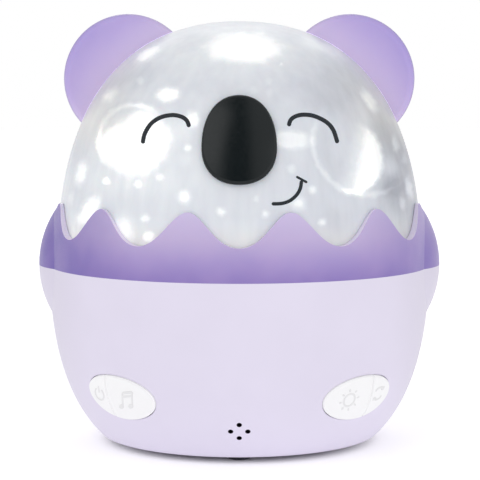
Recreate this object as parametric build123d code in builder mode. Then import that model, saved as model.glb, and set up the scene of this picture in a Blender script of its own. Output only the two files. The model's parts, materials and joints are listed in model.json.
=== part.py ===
from build123d import *

import math
import os

os.makedirs("parts", exist_ok=True)

# Night light projector in millimetres: Z is up, the face looks along -Y, the table is at Z = 0.

# Fits
fit_gap = 0.1  # between pieces of one assembly that are glued, screwed or pressed
move_gap = 0.3  # round pieces that move
running_gap = 0.08  # radial, shaft in bearing

# Base
body_radius = 64.3  # at the seam between base and head
seam_height = 59.7
base_wall = 2.2
table_gap = 2.0  # underside of the base above the table
heel_inset = 16.7  # where the wall turns under, inside the seam's radius
heel_rise = 1.0
heel_angle = 45.0  # slope of the wall at the heel
shoulder_drop = 10.3  # how far the wall stays upright under the seam
belly_lean = 0.3
lobe_radius = 33.0  # round bump on each side, split by the seam
lobe_proud = 3.7  # beyond the wall

# Underside
plate_thickness = 2.0
ledge_height = 1.6
ledge_width = 3.0
rim_width = 4.1  # flat underside between the heel and the plate
foot_count = 4
foot_inset = 6.4  # from the plate's edge
foot_radius = 3.7
foot_recess = 0.8
foot_round = 0.7
plate_screw_inset = 3.9  # from the plate's edge
plate_screw_angle = 17.0  # either side of the X axis
plate_boss_radius = 3.4
plate_boss_height = 8.0

# Battery box
cell_radius = 7.25
cell_length = 49.0
cell_count = 3
cell_pitch = 14.9
nub_radius = 2.75
nub_length = 1.2
contact_room = 2.4  # at each end of a cell
contact_thickness = 0.5
contact_size = 11.0
contact_dome_radius = 3.0
box_wall = 1.8
box_roof = 1.6
box_corner = 2.0
door_ledge = 1.1
door_tab_width = 10.0
door_tab_reach = 7.0
door_screw_inset = 3.4  # door screw from the tab's end
grip_count = 5  # finger grooves at each end of the door
grip_pitch = 2.2
grip_length = 12.0
grip_width = 1.0
grip_depth = 0.6
grip_inset = 8.0  # of the middle groove, from the door's end
door_boss_height = 8.0

# Screws: head radius, head height, shank radius
screw_head_radius = 2.3
screw_head_height = 1.5
screw_radius = 1.2
screw_length = 6.5
small_head_radius = 1.5
small_head_height = 1.0
small_screw_radius = 0.8
small_screw_length = 4.0

# Circuit boards
board_thickness = 1.6
main_board_length = 52.0
main_board_width = 42.0
board_hole_inset = 4.0
standoff_radius = 2.6
standoff_height = 3.0
chip_size = 11.0
chip_height = 1.8
capacitor_radius = 3.2
capacitor_height = 7.0
socket_length = 7.5
socket_width = 4.5
socket_height = 4.0
socket_count = 4

# Speaker behind the four holes
speaker_height = 12.0  # height of its axis on the outside
speaker_radius = 7.5
speaker_depth = 5.0
speaker_ring_wall = 1.2
speaker_hole_radius = 0.82
speaker_hole_offset = 2.7  # from the speaker's axis
speaker_hole_count = 4
grille_thickness = 2.4

# Keys: two in an oval on each side of the front
key_azimuth = 40.75  # from the front
key_height = 21.0
key_half_length = 14.2
key_half_width = 7.7
key_turn = 2.0
key_proud = 0.6
key_edge_round = 0.45
key_split = 4.9  # divider from the oval's centre, towards the side
key_split_radius = 30.0
key_split_gap = 0.4
key_flange = 1.1
key_flange_depth = 4.9  # below the tangent plane
key_flange_thickness = 1.5
key_travel = 0.6
stem_radius = 2.0
stem_length = 0.8
plunger_radius = 1.7
plunger_proud = 1.0
switch_size = 6.2
switch_height = 3.5
key_board_length = 45.0
key_board_width = 15.0
key_board_thickness = 1.2
key_post_offset = 19.3
key_post_radius = 2.4
key_post_root = 4.4  # where the post starts inside the wall

# Deck, the top cover of the base
deck_drop = 2.7  # deck top below the seam
deck_thickness = 2.2
deck_column_radius = 4.0
deck_column_height = 17.0
deck_column_bite = 0.5
deck_screw_count = 4
register_wall = 1.6
register_height = 5.5
hub_radius = 14.0
hub_wall = 2.5
shoulder_radius = 17.0
shoulder_height = 1.2

# Turning film and its drive
gear_module = 0.8
turntable_teeth = 64
pinion_teeth = 16
gear_backlash = 0.13  # taken off each tooth
addendum_ratio = 0.8
dedendum_ratio = 1.0
pressure_angle = 20.0
flank_steps = 4  # points along an involute flank
gear_height = 3.2
gear_rim = 3.6
turntable_thickness = 2.0
turntable_lip = 2.0  # round the film dome
film_radius = 42.0
film_wall = 1.0
film_rib_wall = 1.1
film_rib_height = 2.0
pinion_height = 2.8
shaft_radius = 1.5
gearbox_length = 12.0
gearbox_width = 10.0
gearbox_height = 9.0
motor_length = 15.0
motor_radius = 6.0
motor_boss_radius = 2.5
motor_boss_height = 1.0
motor_screw_offset = 4.5
shaft_bite = 3.0  # length of shaft inside the gearbox

# Light source
post_flange_thickness = 1.6
post_spigot_length = 4.0
post_radius = 6.0
post_wall = 1.6
post_height = 14.0
led_board_radius = 10.5
led_count = 3
led_offset = 5.0  # from the axis
led_radius = 2.5
led_body_height = 3.0

# Head
collar_proud = 2.85  # collar outside the dome at the seam
collar_tuck = 0.3  # how far the collar's curve ends inside the dome
collar_rise = 23.3  # heights from here on are above the seam
collar_flange = 2.0
flange_lip = 0.55  # of the flange, inside the head ring
dome_rise = 81.9
dome_skirt = 3.3  # upright wall above the flange
dome_side_pull = 17.5
dome_crown_inset = 4.05
dome_wall = 2.0
wave_count = 12
wave_peak_rise = 21.5
wave_valley_rise = 10.7
wave_peak_handle = 0.3  # share of half a wave
wave_valley_handle = 0.5
head_ring_wall = 4.0
head_ring_height = 5.0
ring_screw_count = 4
ring_screw_sink = 1.2
ear_inset = 24.05  # its centre from the dome's widest radius
ear_rise = 62.5
ear_radius = 21.8
ear_thickness = 7.0
ear_round = 2.6
ear_depth = 1.0  # behind the middle plane
ear_lean = 45.0  # direction of its tab, above level
tab_width = 16.0
tab_thickness = 3.0
tab_start = 2.0  # from the ear's centre, outward
tab_end = 9.5
nose_rise = 30.0
nose_height = 27.5
nose_cheek = 11.3  # its widest level above its foot
nose_half_width = 11.7
nose_proud = 2.0
nose_round = 1.1
nose_peg_radius = 2.0
nose_tip_handle = 0.58  # shares of the half width
nose_foot_handle = 0.62
nose_brow_handle = 0.64  # shares of the height above and below the widest level
nose_cheek_handle = 0.61

# Levels that follow from the sizes above
heel_radius = body_radius - heel_inset
opening_radius = heel_radius - rim_width
lobe_offset = body_radius + lobe_proud - lobe_radius
plate_top = table_gap + plate_thickness
ledge_top = plate_top + ledge_height
ledge_radius = opening_radius - ledge_width
plate_radius = opening_radius - fit_gap
foot_circle = plate_radius - foot_inset
plate_screw_circle = plate_radius - plate_screw_inset
heel_height = table_gap + heel_rise
box_length = cell_length + nub_length + 2 * contact_room
box_width = cell_count * cell_pitch
cell_height = plate_top + fit_gap + cell_radius
box_ceiling = cell_height + cell_radius + 2 * fit_gap
box_top = box_ceiling + box_roof
board_bottom = box_top + standoff_height
board_top = board_bottom + board_thickness
deck_top = seam_height - deck_drop
deck_bottom = deck_top - deck_thickness
deck_radius = body_radius - base_wall - move_gap
deck_screw_circle = body_radius - base_wall - deck_column_radius + deck_column_bite
gear_bottom = deck_top + shoulder_height + fit_gap
gear_top = gear_bottom + gear_height
turntable_top = gear_top + turntable_thickness
hub_top = turntable_top + move_gap
post_top = hub_top + post_flange_thickness + post_height
led_top = post_top + board_thickness
gear_distance = gear_module * (turntable_teeth + pinion_teeth) / 2
turntable_radius = film_radius + turntable_lip
flange_top = seam_height + collar_flange
dome_radius = body_radius - collar_proud
dome_spring_height = flange_top + dome_skirt
dome_top = seam_height + dome_rise
dome_crown_pull = dome_radius - dome_crown_inset
collar_top_height = seam_height + collar_rise
collar_top_radius = dome_radius - collar_tuck
wave_peak_height = seam_height + wave_peak_rise
wave_valley_height = seam_height + wave_valley_rise
ring_outer = dome_radius - dome_wall - fit_gap
ring_inner = ring_outer - head_ring_wall
ring_screw_circle = ring_outer - head_ring_wall / 2
flange_radius = ring_inner - flange_lip
register_radius = flange_radius - move_gap
ear_offset = dome_radius - ear_inset
ear_height = seam_height + ear_rise
nose_bottom = seam_height + nose_rise
nose_top = nose_bottom + nose_height
nose_widest = nose_bottom + nose_cheek
stem_depth = key_flange_depth + key_flange_thickness + stem_length
switch_depth = stem_depth + plunger_proud
key_board_depth = switch_depth + switch_height


def base_curve(inset):
    """Control points of the base's wall, from the seam down to the heel, moved inward."""
    lean = math.radians(heel_angle)
    top = body_radius - inset
    heel = heel_radius - inset * math.sin(lean)
    low = heel_height + inset * math.cos(lean)
    pull = top - belly_lean - heel
    return [
        (top, seam_height),
        (top, seam_height - shoulder_drop),
        (heel + pull, low + pull * math.tan(lean)),
        (heel, low),
    ]


def curve_point(points, share):
    """Point on a cubic curve, and its direction, at a share of its length parameter."""
    rest = 1 - share
    weights = (rest**3, 3 * rest**2 * share, 3 * rest * share**2, share**3)
    steps = (3 * rest**2, 6 * rest * share, 3 * share**2)
    place = [sum(w * p[i] for w, p in zip(weights, points)) for i in (0, 1)]
    slope = [sum(w * (points[k + 1][i] - points[k][i]) for k, w in enumerate(steps)) for i in (0, 1)]
    return place, slope


def wall_plane(azimuth, height):
    """Plane that touches the outside of the base: X sideways, Y up the wall, Z outward."""
    points = base_curve(0)
    low, high = 0.0, 1.0
    for _ in range(40):
        share = (low + high) / 2
        place, slope = curve_point(points, share)
        if place[1] > height:
            low = share
        else:
            high = share
    tilt = math.atan2(slope[0], -slope[1])
    turn = math.radians(azimuth)
    side = (math.cos(turn), math.sin(turn), 0)
    out = (math.sin(turn) * math.cos(tilt), -math.cos(turn) * math.cos(tilt), math.sin(tilt))
    return Plane((place[0] * math.sin(turn), -place[0] * math.cos(turn), place[1]), x_dir=side, z_dir=out)


def base_form(inset):
    """Solid egg form of the base above the heel, moved inward by the inset."""
    points = base_curve(inset)
    with BuildPart() as form:
        with BuildSketch(Plane.XZ):
            with BuildLine():
                Bezier(*points)
                Polyline(points[-1], (0, points[-1][1]), (0, seam_height), points[0])
            make_face()
        revolve(axis=Axis.Z)
    return form.part


def dome_form(grow, bottom):
    """Solid form of the dome above a level, grown outward."""
    side = dome_radius + grow
    crown = dome_top + grow
    with BuildPart() as form:
        with BuildSketch(Plane.XZ):
            with BuildLine():
                Line((side, bottom), (side, dome_spring_height))
                Bezier(
                    (side, dome_spring_height),
                    (side, dome_spring_height + dome_side_pull),
                    (dome_crown_pull + grow, crown),
                    (0, crown),
                )
                Polyline((0, crown), (0, bottom), (side, bottom))
            make_face()
        revolve(axis=Axis.Z)
    return form.part


def screw_form(head_radius, head_height, radius, length):
    """Pan-head screw pointing down, its head sitting on the XY plane."""
    with BuildPart() as form:
        with BuildSketch(Plane.XZ):
            with BuildLine():
                Polyline((0, -length), (radius, -length), (radius, 0), (head_radius, 0))
                rim = (head_radius, head_height)
                Bezier((head_radius, 0), rim, rim, (0, head_height))
                Line((0, head_height), (0, -length))
            make_face()
        revolve(axis=Axis.Z)
    return form.part


def gear_tooth(teeth):
    """Face of one involute tooth along +X, from inside the root to the tip."""
    pitch = gear_module * teeth / 2
    base = pitch * math.cos(math.radians(pressure_angle))
    tip = pitch + addendum_ratio * gear_module
    root = pitch - dedendum_ratio * gear_module
    half_tooth = (math.pi * gear_module / 2 - gear_backlash) / (2 * pitch)
    start_roll = math.tan(math.radians(pressure_angle)) - math.radians(pressure_angle)
    inner = max(base, root)
    flank = []
    for step in range(flank_steps + 1):
        radius = inner + (tip - inner) * step / flank_steps
        lean = math.acos(base / radius)
        angle = half_tooth + start_roll - (math.tan(lean) - lean)
        flank.append((radius * math.cos(angle), radius * math.sin(angle)))
    sunk = root - gear_module / 2
    foot = (sunk, sunk * flank[0][1] / flank[0][0])
    with BuildSketch() as tooth:
        with BuildLine():
            Line(foot, flank[0])
            Spline(*flank)
            ThreePointArc(flank[-1], (tip, 0), (flank[-1][0], -flank[-1][1]))
            Spline(*[(x, -y) for x, y in reversed(flank)])
            Line((flank[0][0], -flank[0][1]), (foot[0], -foot[1]))
            Line((foot[0], -foot[1]), foot)
        make_face()
    return tooth.sketch


def polar_points(radius, count, start=0.0):
    """Points spread evenly on a circle."""
    angles = [math.radians(start + 360 * i / count) for i in range(count)]
    return [(radius * math.cos(a), radius * math.sin(a)) for a in angles]


def write(part, name):
    part.label = name
    export_step(part, f"parts/{name}.step")


screw = screw_form(screw_head_radius, screw_head_height, screw_radius, screw_length)
small_screw = screw_form(small_head_radius, small_head_height, small_screw_radius, small_screw_length)
base_outside = base_form(0)
base_inside = base_form(base_wall)
key_skin = base_form(-key_proud)
dome_outside = dome_form(0, flange_top)
dome_seat = dome_form(fit_gap, flange_top)
speaker_plane = wall_plane(0, speaker_height)
key_plane = wall_plane(key_azimuth, key_height)
key_axis = Axis(key_plane.origin, key_plane.z_dir)
lobe_points = [(-lobe_offset, 0, seam_height), (lobe_offset, 0, seam_height)]
foot_points = polar_points(foot_circle, foot_count, -90)
plate_screw_turn = math.radians(plate_screw_angle)
plate_screw_points = [
    (x * plate_screw_circle * math.cos(plate_screw_turn), y * plate_screw_circle * math.sin(plate_screw_turn))
    for x in (-1, 1)
    for y in (-1, 1)
]
deck_screw_points = polar_points(deck_screw_circle, deck_screw_count)
board_points = [
    (x * (main_board_length / 2 - board_hole_inset), y * (main_board_width / 2 - board_hole_inset))
    for x in (-1, 1)
    for y in (-1, 1)
]
door_length = box_length + 2 * door_ledge
door_width = box_width + 2 * door_ledge
door_screw_offset = door_width / 2 + door_tab_reach - door_screw_inset
door_screw_points = [(0, -door_screw_offset), (0, door_screw_offset)]
motor_points = [(-motor_screw_offset, gear_distance), (motor_screw_offset, gear_distance)]


# Base shell: bowl with half of each side lobe, open below for the plate and above for the deck.
with BuildPart() as key_opening:
    with BuildSketch(key_plane):
        Ellipse(key_half_length + move_gap, key_half_width + move_gap, rotation=key_turn)
    extrude(amount=key_flange_depth, both=True)

with BuildPart() as key_posts:
    with BuildSketch(key_plane.offset(-key_board_depth)):
        with Locations((-key_post_offset, 0), (key_post_offset, 0)):
            Circle(key_post_radius)
    extrude(amount=key_board_depth - key_post_root)
    with BuildSketch(key_plane.offset(-key_board_depth)):
        with Locations((-key_post_offset, 0), (key_post_offset, 0)):
            Circle(small_screw_radius + fit_gap)
    extrude(amount=small_screw_length, mode=Mode.SUBTRACT)

with BuildPart() as base_shell:
    add(base_outside)
    with BuildSketch(Plane.XZ):
        with BuildLine():
            lean = math.radians(heel_angle)
            heel_run = heel_rise * (1 + math.cos(lean)) / math.sin(lean)
            heel_end = (heel_radius - heel_run, table_gap)
            heel_start = (heel_radius, heel_height)
            TangentArc(heel_start, heel_end, tangent=(-math.cos(lean), -math.sin(lean)))
            Polyline(heel_end, (0, table_gap), (0, heel_height), heel_start)
        make_face()
    revolve(axis=Axis.Z)
    with Locations(*lobe_points):
        Sphere(lobe_radius)
    split(bisect_by=Plane.XY.offset(seam_height), keep=Keep.BOTTOM)
    add(base_inside, mode=Mode.SUBTRACT)
    # Ledge for the plate, and the opening below it
    with BuildSketch(Plane.XY.offset(plate_top)):
        Circle(heel_radius - ledge_height)
    extrude(amount=ledge_height)
    with BuildSketch(Plane.XY):
        Circle(ledge_radius)
    extrude(amount=ledge_top, mode=Mode.SUBTRACT)
    with BuildSketch(Plane.XY):
        Circle(opening_radius)
    extrude(amount=plate_top, mode=Mode.SUBTRACT)
    # Screw bosses for the plate, and columns for the deck
    with BuildSketch(Plane.XY.offset(plate_top)):
        with Locations(*plate_screw_points):
            Circle(plate_boss_radius)
    extrude(amount=plate_boss_height)
    with BuildSketch(Plane.XY.offset(plate_top)):
        with Locations(*plate_screw_points):
            Circle(screw_radius + fit_gap)
    extrude(amount=screw_length, mode=Mode.SUBTRACT)
    with BuildSketch(Plane.XY.offset(deck_bottom)):
        with Locations(*deck_screw_points):
            Circle(deck_column_radius)
    extrude(amount=-deck_column_height)
    with BuildSketch(Plane.XY.offset(deck_bottom)):
        with Locations(*deck_screw_points):
            Circle(screw_radius + fit_gap)
    extrude(amount=-screw_length, mode=Mode.SUBTRACT)
    # Speaker cup and its holes
    with BuildSketch(speaker_plane.offset(-grille_thickness)):
        Circle(speaker_radius + speaker_ring_wall)
    extrude(amount=-speaker_depth)
    with BuildSketch(speaker_plane.offset(-grille_thickness)):
        Circle(speaker_radius + fit_gap)
    extrude(amount=-3 * speaker_depth, mode=Mode.SUBTRACT)
    with BuildSketch(speaker_plane):
        with PolarLocations(speaker_hole_offset, speaker_hole_count):
            Circle(speaker_hole_radius)
    extrude(amount=2 * grille_thickness, both=True, mode=Mode.SUBTRACT)
    # Key openings and the posts of the key boards, on both sides
    add(key_posts.part)
    add(mirror(key_posts.part, about=Plane.YZ, mode=Mode.PRIVATE))
    add(key_opening.part, mode=Mode.SUBTRACT)
    add(mirror(key_opening.part, about=Plane.YZ, mode=Mode.PRIVATE), mode=Mode.SUBTRACT)
write(base_shell.part, "base_shell")


# Base plate with the battery box standing on it.
with BuildPart() as base_plate:
    with BuildSketch(Plane.XY.offset(table_gap)):
        Circle(plate_radius)
    extrude(amount=plate_thickness)
    with BuildSketch(Plane.XY.offset(plate_top)):
        RectangleRounded(box_length + 2 * box_wall, box_width + 2 * box_wall, box_corner)
    extrude(amount=box_top - plate_top)
    with BuildSketch(Plane.XY.offset(plate_top)):
        with Locations(*door_screw_points):
            Circle(door_screw_inset)
    extrude(amount=door_boss_height)
    with BuildSketch(Plane.XY.offset(box_top)):
        with Locations(*board_points):
            Circle(standoff_radius)
    extrude(amount=standoff_height)
    with BuildSketch(Plane.XY.offset(plate_top)):
        Rectangle(box_length, box_width)
    extrude(amount=box_ceiling - plate_top, mode=Mode.SUBTRACT)
    with BuildSketch(Plane.XY.offset(table_gap)):
        Rectangle(door_length, door_width)
        Rectangle(door_tab_width, door_width + 2 * door_tab_reach)
    extrude(amount=plate_thickness, mode=Mode.SUBTRACT)
    with BuildSketch(Plane.XY.offset(plate_top)):
        with Locations(*door_screw_points):
            Circle(screw_radius + fit_gap)
    extrude(amount=screw_length, mode=Mode.SUBTRACT)
    with BuildSketch(Plane.XY.offset(board_bottom)):
        with Locations(*board_points):
            Circle(small_screw_radius + fit_gap)
    extrude(amount=-standoff_height, mode=Mode.SUBTRACT)
    with BuildSketch(Plane.XY.offset(table_gap)):
        with Locations(*foot_points):
            Circle(foot_radius + fit_gap)
    extrude(amount=foot_recess, mode=Mode.SUBTRACT)
    with BuildSketch(Plane.XY.offset(table_gap)):
        with Locations(*plate_screw_points):
            Circle(screw_head_radius + fit_gap)
    extrude(amount=screw_head_height, mode=Mode.SUBTRACT)
    with BuildSketch(Plane.XY.offset(table_gap)):
        with Locations(*plate_screw_points):
            Circle(screw_radius + fit_gap)
    extrude(amount=plate_thickness, mode=Mode.SUBTRACT)
write(base_plate.part, "base_plate")


# Battery door, flush with the underside, with a screw tab at the front and the back.
with BuildPart() as battery_door:
    with BuildSketch(Plane.XY.offset(table_gap)):
        Rectangle(door_length - 2 * fit_gap, door_width - 2 * fit_gap)
        Rectangle(door_tab_width - 2 * fit_gap, door_width + 2 * door_tab_reach - 2 * fit_gap)
    extrude(amount=plate_thickness)
    with BuildSketch(Plane.XY.offset(table_gap)):
        with Locations(*door_screw_points):
            Circle(screw_head_radius + fit_gap)
    extrude(amount=screw_head_height, mode=Mode.SUBTRACT)
    with BuildSketch(Plane.XY.offset(table_gap)):
        with Locations(*door_screw_points):
            Circle(screw_radius + fit_gap)
    extrude(amount=plate_thickness, mode=Mode.SUBTRACT)
    with BuildSketch(Plane.XY.offset(table_gap)):
        with GridLocations(door_length - 2 * grip_inset, 0, 2, 1):
            with GridLocations(grip_pitch, 0, grip_count, 1):
                SlotOverall(grip_length, grip_width, rotation=90)
    extrude(amount=grip_depth, mode=Mode.SUBTRACT)
write(battery_door.part, "battery_door")


# Screws driven up from below, their heads sunk into the plate and the door.
sunk_seat = table_gap + screw_head_height
for name, points in (("plate_screws", plate_screw_points), ("door_screws", door_screw_points)):
    with BuildPart() as sunk_screws:
        with Locations(*[Location((x, y, sunk_seat), (180, 0, 0)) for x, y in points]):
            add(screw)
    write(sunk_screws.part, name)


# Rubber feet pressed into the plate.
with BuildPart() as rubber_feet:
    with BuildSketch(Plane.XY):
        with Locations(*foot_points):
            Circle(foot_radius)
    extrude(amount=table_gap + foot_recess)
    fillet(rubber_feet.edges().group_by(Axis.Z)[0], foot_round)
write(rubber_feet.part, "rubber_feet")


# Cells side by side, every second one turned round, and a contact at each end.
cell_rows = [(i - (cell_count - 1) / 2) * cell_pitch for i in range(cell_count)]
cell_turns = [1 if i % 2 == 0 else -1 for i in range(cell_count)]

with BuildPart() as battery_cells:
    for row, turn in zip(cell_rows, cell_turns):
        start = -turn * (cell_length + nub_length) / 2
        with BuildSketch(Plane((start, row, cell_height), z_dir=(turn, 0, 0))):
            Circle(cell_radius)
        extrude(amount=cell_length)
        with BuildSketch(Plane((start + turn * cell_length, row, cell_height), z_dir=(turn, 0, 0))):
            Circle(nub_radius)
        extrude(amount=nub_length)
write(battery_cells.part, "battery_cells")

with BuildPart() as battery_contacts:
    for row in cell_rows:
        for end in (-1, 1):
            end_plane = Plane((end * box_length / 2, row, cell_height), z_dir=(-end, 0, 0))
            with BuildSketch(end_plane):
                RectangleRounded(contact_size, contact_size, contact_size / 8)
            extrude(amount=contact_thickness)
            with BuildSketch(end_plane.offset(contact_thickness)):
                Circle(contact_dome_radius)
            extrude(amount=contact_room - contact_thickness - 2 * fit_gap, taper=30)
write(battery_contacts.part, "battery_contacts")


# Main board on the battery box, with the parts that stand on it.
with BuildPart() as main_board:
    with BuildSketch(Plane.XY.offset(board_bottom)):
        Rectangle(main_board_length, main_board_width)
        with Locations(*board_points):
            Circle(small_screw_radius + fit_gap, mode=Mode.SUBTRACT)
    extrude(amount=board_thickness)
write(main_board.part, "main_board")

with BuildPart() as control_chip:
    with BuildSketch(Plane.XY.offset(board_top)):
        Rectangle(chip_size, chip_size)
    extrude(amount=chip_height)
write(control_chip.part, "control_chip")

with BuildPart() as capacitor:
    with BuildSketch(Plane.XY.offset(board_top)):
        with Locations((main_board_length / 4, main_board_width / 4)):
            Circle(capacitor_radius)
    extrude(amount=capacitor_height)
    fillet(capacitor.edges().group_by(Axis.Z)[-1], capacitor_radius / 8)
write(capacitor.part, "capacitor")

with BuildPart() as wire_sockets:
    with BuildSketch(Plane.XY.offset(board_top)):
        with Locations((0, -main_board_width / 2 + socket_width / 2 + 2 * fit_gap)):
            with GridLocations(socket_length + 2 * fit_gap, 0, socket_count, 1):
                Rectangle(socket_length, socket_width)
    extrude(amount=socket_height)
write(wire_sockets.part, "wire_sockets")


# Speaker: basket with its magnet, and a paper cone inside it.
with BuildPart() as speaker_frame:
    with BuildSketch(speaker_plane.offset(-grille_thickness)):
        Circle(speaker_radius)
    extrude(amount=-speaker_depth / 4)
    with BuildSketch(speaker_plane.offset(-grille_thickness - speaker_depth / 4)):
        Circle(speaker_radius)
    extrude(amount=-speaker_depth / 3, taper=45)
    with BuildSketch(speaker_plane.offset(-grille_thickness - speaker_depth / 2)):
        Circle(speaker_radius / 2)
    extrude(amount=-speaker_depth)
    with BuildSketch(speaker_plane.offset(-grille_thickness)):
        Circle(speaker_radius - speaker_ring_wall / 2)
    extrude(amount=-speaker_depth / 4, mode=Mode.SUBTRACT)
write(speaker_frame.part, "speaker_frame")

with BuildPart() as speaker_cone:
    with BuildSketch(speaker_plane.offset(-grille_thickness - speaker_depth / 4)):
        Circle(speaker_radius - speaker_ring_wall / 2 - fit_gap)
    extrude(amount=speaker_depth / 8)
    with BuildSketch(speaker_plane.offset(-grille_thickness - speaker_depth / 8)):
        Circle(speaker_radius / 3)
    extrude(amount=speaker_depth / 12, taper=45)
write(speaker_cone.part, "speaker_cone")


# Keys: each half of an oval cap, a flange that keeps it in and a stem on its switch.
def key_half(grow, outer):
    """Sketch of one key of the oval, grown all round but cut at the divider."""
    gap = key_split_gap / 2
    with BuildSketch() as half:
        Ellipse(key_half_length + grow, key_half_width + grow, rotation=key_turn)
        with Locations((key_split - key_split_radius, 0)):
            if outer:
                Circle(key_split_radius + gap, mode=Mode.SUBTRACT)
            else:
                Circle(key_split_radius - gap, mode=Mode.INTERSECT)
    return half.sketch


outer_stem = (key_split + key_half_length) / 2
inner_stem = (key_split - key_half_length) / 2
key_names = (
    ("light", False, False),
    ("rotate", True, False),
    ("music", False, True),
    ("power", True, True),
)
for name, outer, mirrored in key_names:
    cap_sketch = key_half(0, outer)
    flange_sketch = key_half(key_flange, outer)
    stem_point = (outer_stem if outer else inner_stem, 0)
    with BuildPart() as key:
        with BuildSketch(key_plane.offset(-key_flange_depth - key_flange_thickness)):
            add(cap_sketch)
        extrude(amount=2 * key_flange_depth + key_flange_thickness)
        add(key_skin, mode=Mode.INTERSECT)
        fillet(key.faces().sort_by(key_axis)[-1].edges(), key_edge_round)
        with BuildSketch(key_plane.offset(-key_flange_depth - key_flange_thickness)):
            add(flange_sketch)
        extrude(amount=key_flange_thickness)
        with BuildSketch(key_plane.offset(-stem_depth)):
            with Locations(stem_point):
                Circle(stem_radius)
        extrude(amount=stem_length)
        if mirrored:
            mirror(about=Plane.YZ, mode=Mode.REPLACE)
    write(key.part, f"{name}_key")
    with BuildPart() as plunger:
        with BuildSketch(key_plane.offset(-stem_depth)):
            with Locations(stem_point):
                Circle(plunger_radius)
        extrude(amount=-2 * plunger_proud)
        if mirrored:
            mirror(about=Plane.YZ, mode=Mode.REPLACE)
    write(plunger.part, f"{name}_plunger")


# Switches under the keys, two on each key board.
with BuildPart() as switch_pair:
    with BuildSketch(key_plane.offset(-key_board_depth)):
        with Locations((inner_stem, 0), (outer_stem, 0)):
            Rectangle(switch_size, switch_size)
    extrude(amount=switch_height)
    with BuildSketch(key_plane.offset(-switch_depth)):
        with Locations((inner_stem, 0), (outer_stem, 0)):
            Circle(plunger_radius + running_gap)
    extrude(amount=-plunger_proud - key_travel - move_gap, mode=Mode.SUBTRACT)
with BuildPart() as tact_switches:
    add(switch_pair.part)
    mirror(about=Plane.YZ)
write(tact_switches.part, "tact_switches")

for name, mirrored in (("key_board_right", False), ("key_board_left", True)):
    with BuildPart() as key_board:
        with BuildSketch(key_plane.offset(-key_board_depth)):
            RectangleRounded(key_board_length, key_board_width, key_board_width / 8)
            with Locations((-key_post_offset, 0), (key_post_offset, 0)):
                Circle(small_screw_radius + fit_gap, mode=Mode.SUBTRACT)
        extrude(amount=-key_board_thickness)
        if mirrored:
            mirror(about=Plane.YZ, mode=Mode.REPLACE)
    write(key_board.part, name)

with BuildPart() as key_board_screws:
    back = key_plane.offset(-key_board_depth - key_board_thickness)
    seat = Plane(back.origin, x_dir=back.x_dir, z_dir=-back.z_dir)
    with Locations(seat):
        with Locations((-key_post_offset, 0), (key_post_offset, 0)):
            add(small_screw)
    mirror(about=Plane.YZ)
with BuildPart() as board_screws:
    add(key_board_screws.part)
    with Locations(*[(x, y, board_top) for x, y in board_points]):
        add(small_screw)
write(board_screws.part, "board_screws")


# Deck: top cover of the base, with the ring that centres the head and the hub of the turntable.
with BuildPart() as deck:
    with BuildSketch(Plane.XY.offset(deck_bottom)):
        Circle(deck_radius)
    extrude(amount=deck_thickness)
    with BuildSketch(Plane.XY.offset(deck_top)):
        Circle(register_radius)
        Circle(register_radius - register_wall, mode=Mode.SUBTRACT)
    extrude(amount=register_height)
    chamfer(deck.edges().group_by(Axis.Z)[-1].sort_by(SortBy.RADIUS)[-1], register_wall / 2)
    with BuildSketch(Plane.XY.offset(deck_top)):
        Circle(shoulder_radius)
    extrude(amount=shoulder_height)
    with BuildSketch(Plane.XY.offset(deck_top)):
        Circle(hub_radius)
    extrude(amount=hub_top - deck_top)
    with BuildSketch(Plane.XY.offset(deck_bottom)):
        Circle(hub_radius - hub_wall)
        with Locations(*deck_screw_points):
            Circle(screw_radius + fit_gap)
        with Locations(*motor_points):
            Circle(small_screw_radius + fit_gap)
        with Locations((0, gear_distance)):
            Circle(shaft_radius + move_gap)
    extrude(amount=hub_top - deck_bottom, mode=Mode.SUBTRACT)
write(deck.part, "deck")

with BuildPart() as deck_screws:
    with Locations(*[(x, y, deck_top) for x, y in deck_screw_points]):
        add(screw)
write(deck_screws.part, "deck_screws")


# Gear motor under the deck, with the shaft that carries the pinion.
with BuildPart() as gear_motor:
    with BuildSketch(Plane.XY.offset(deck_bottom)):
        with Locations((0, gear_distance)):
            Rectangle(gearbox_length, gearbox_width)
    extrude(amount=-gearbox_height)
    with BuildSketch(Plane.XY.offset(deck_bottom - gearbox_height)):
        with Locations((0, gear_distance)):
            Circle(motor_radius)
            Rectangle(2 * motor_radius, gearbox_width, mode=Mode.INTERSECT)
    extrude(amount=-motor_length)
    with BuildSketch(Plane.XY.offset(deck_bottom - gearbox_height - motor_length)):
        with Locations((0, gear_distance)):
            Circle(motor_boss_radius)
    extrude(amount=-motor_boss_height)
    with BuildSketch(Plane.XY.offset(deck_bottom)):
        with Locations((0, gear_distance)):
            Circle(shaft_radius + running_gap)
    extrude(amount=-shaft_bite, mode=Mode.SUBTRACT)
    with BuildSketch(Plane.XY.offset(deck_bottom)):
        with Locations(*motor_points):
            Circle(small_screw_radius + fit_gap)
    extrude(amount=-small_screw_length, mode=Mode.SUBTRACT)
write(gear_motor.part, "gear_motor")

with BuildPart() as motor_screws:
    with Locations(*[(x, y, deck_top) for x, y in motor_points]):
        add(small_screw)
write(motor_screws.part, "motor_screws")

pinion_bottom = gear_bottom + move_gap / 2
pinion_top = pinion_bottom + pinion_height
with BuildPart() as motor_shaft:
    with BuildSketch(Plane.XY.offset(deck_bottom - shaft_bite + move_gap)):
        with Locations((0, gear_distance)):
            Circle(shaft_radius)
    extrude(amount=pinion_top - deck_bottom + shaft_bite - move_gap)
write(motor_shaft.part, "motor_shaft")

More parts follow.
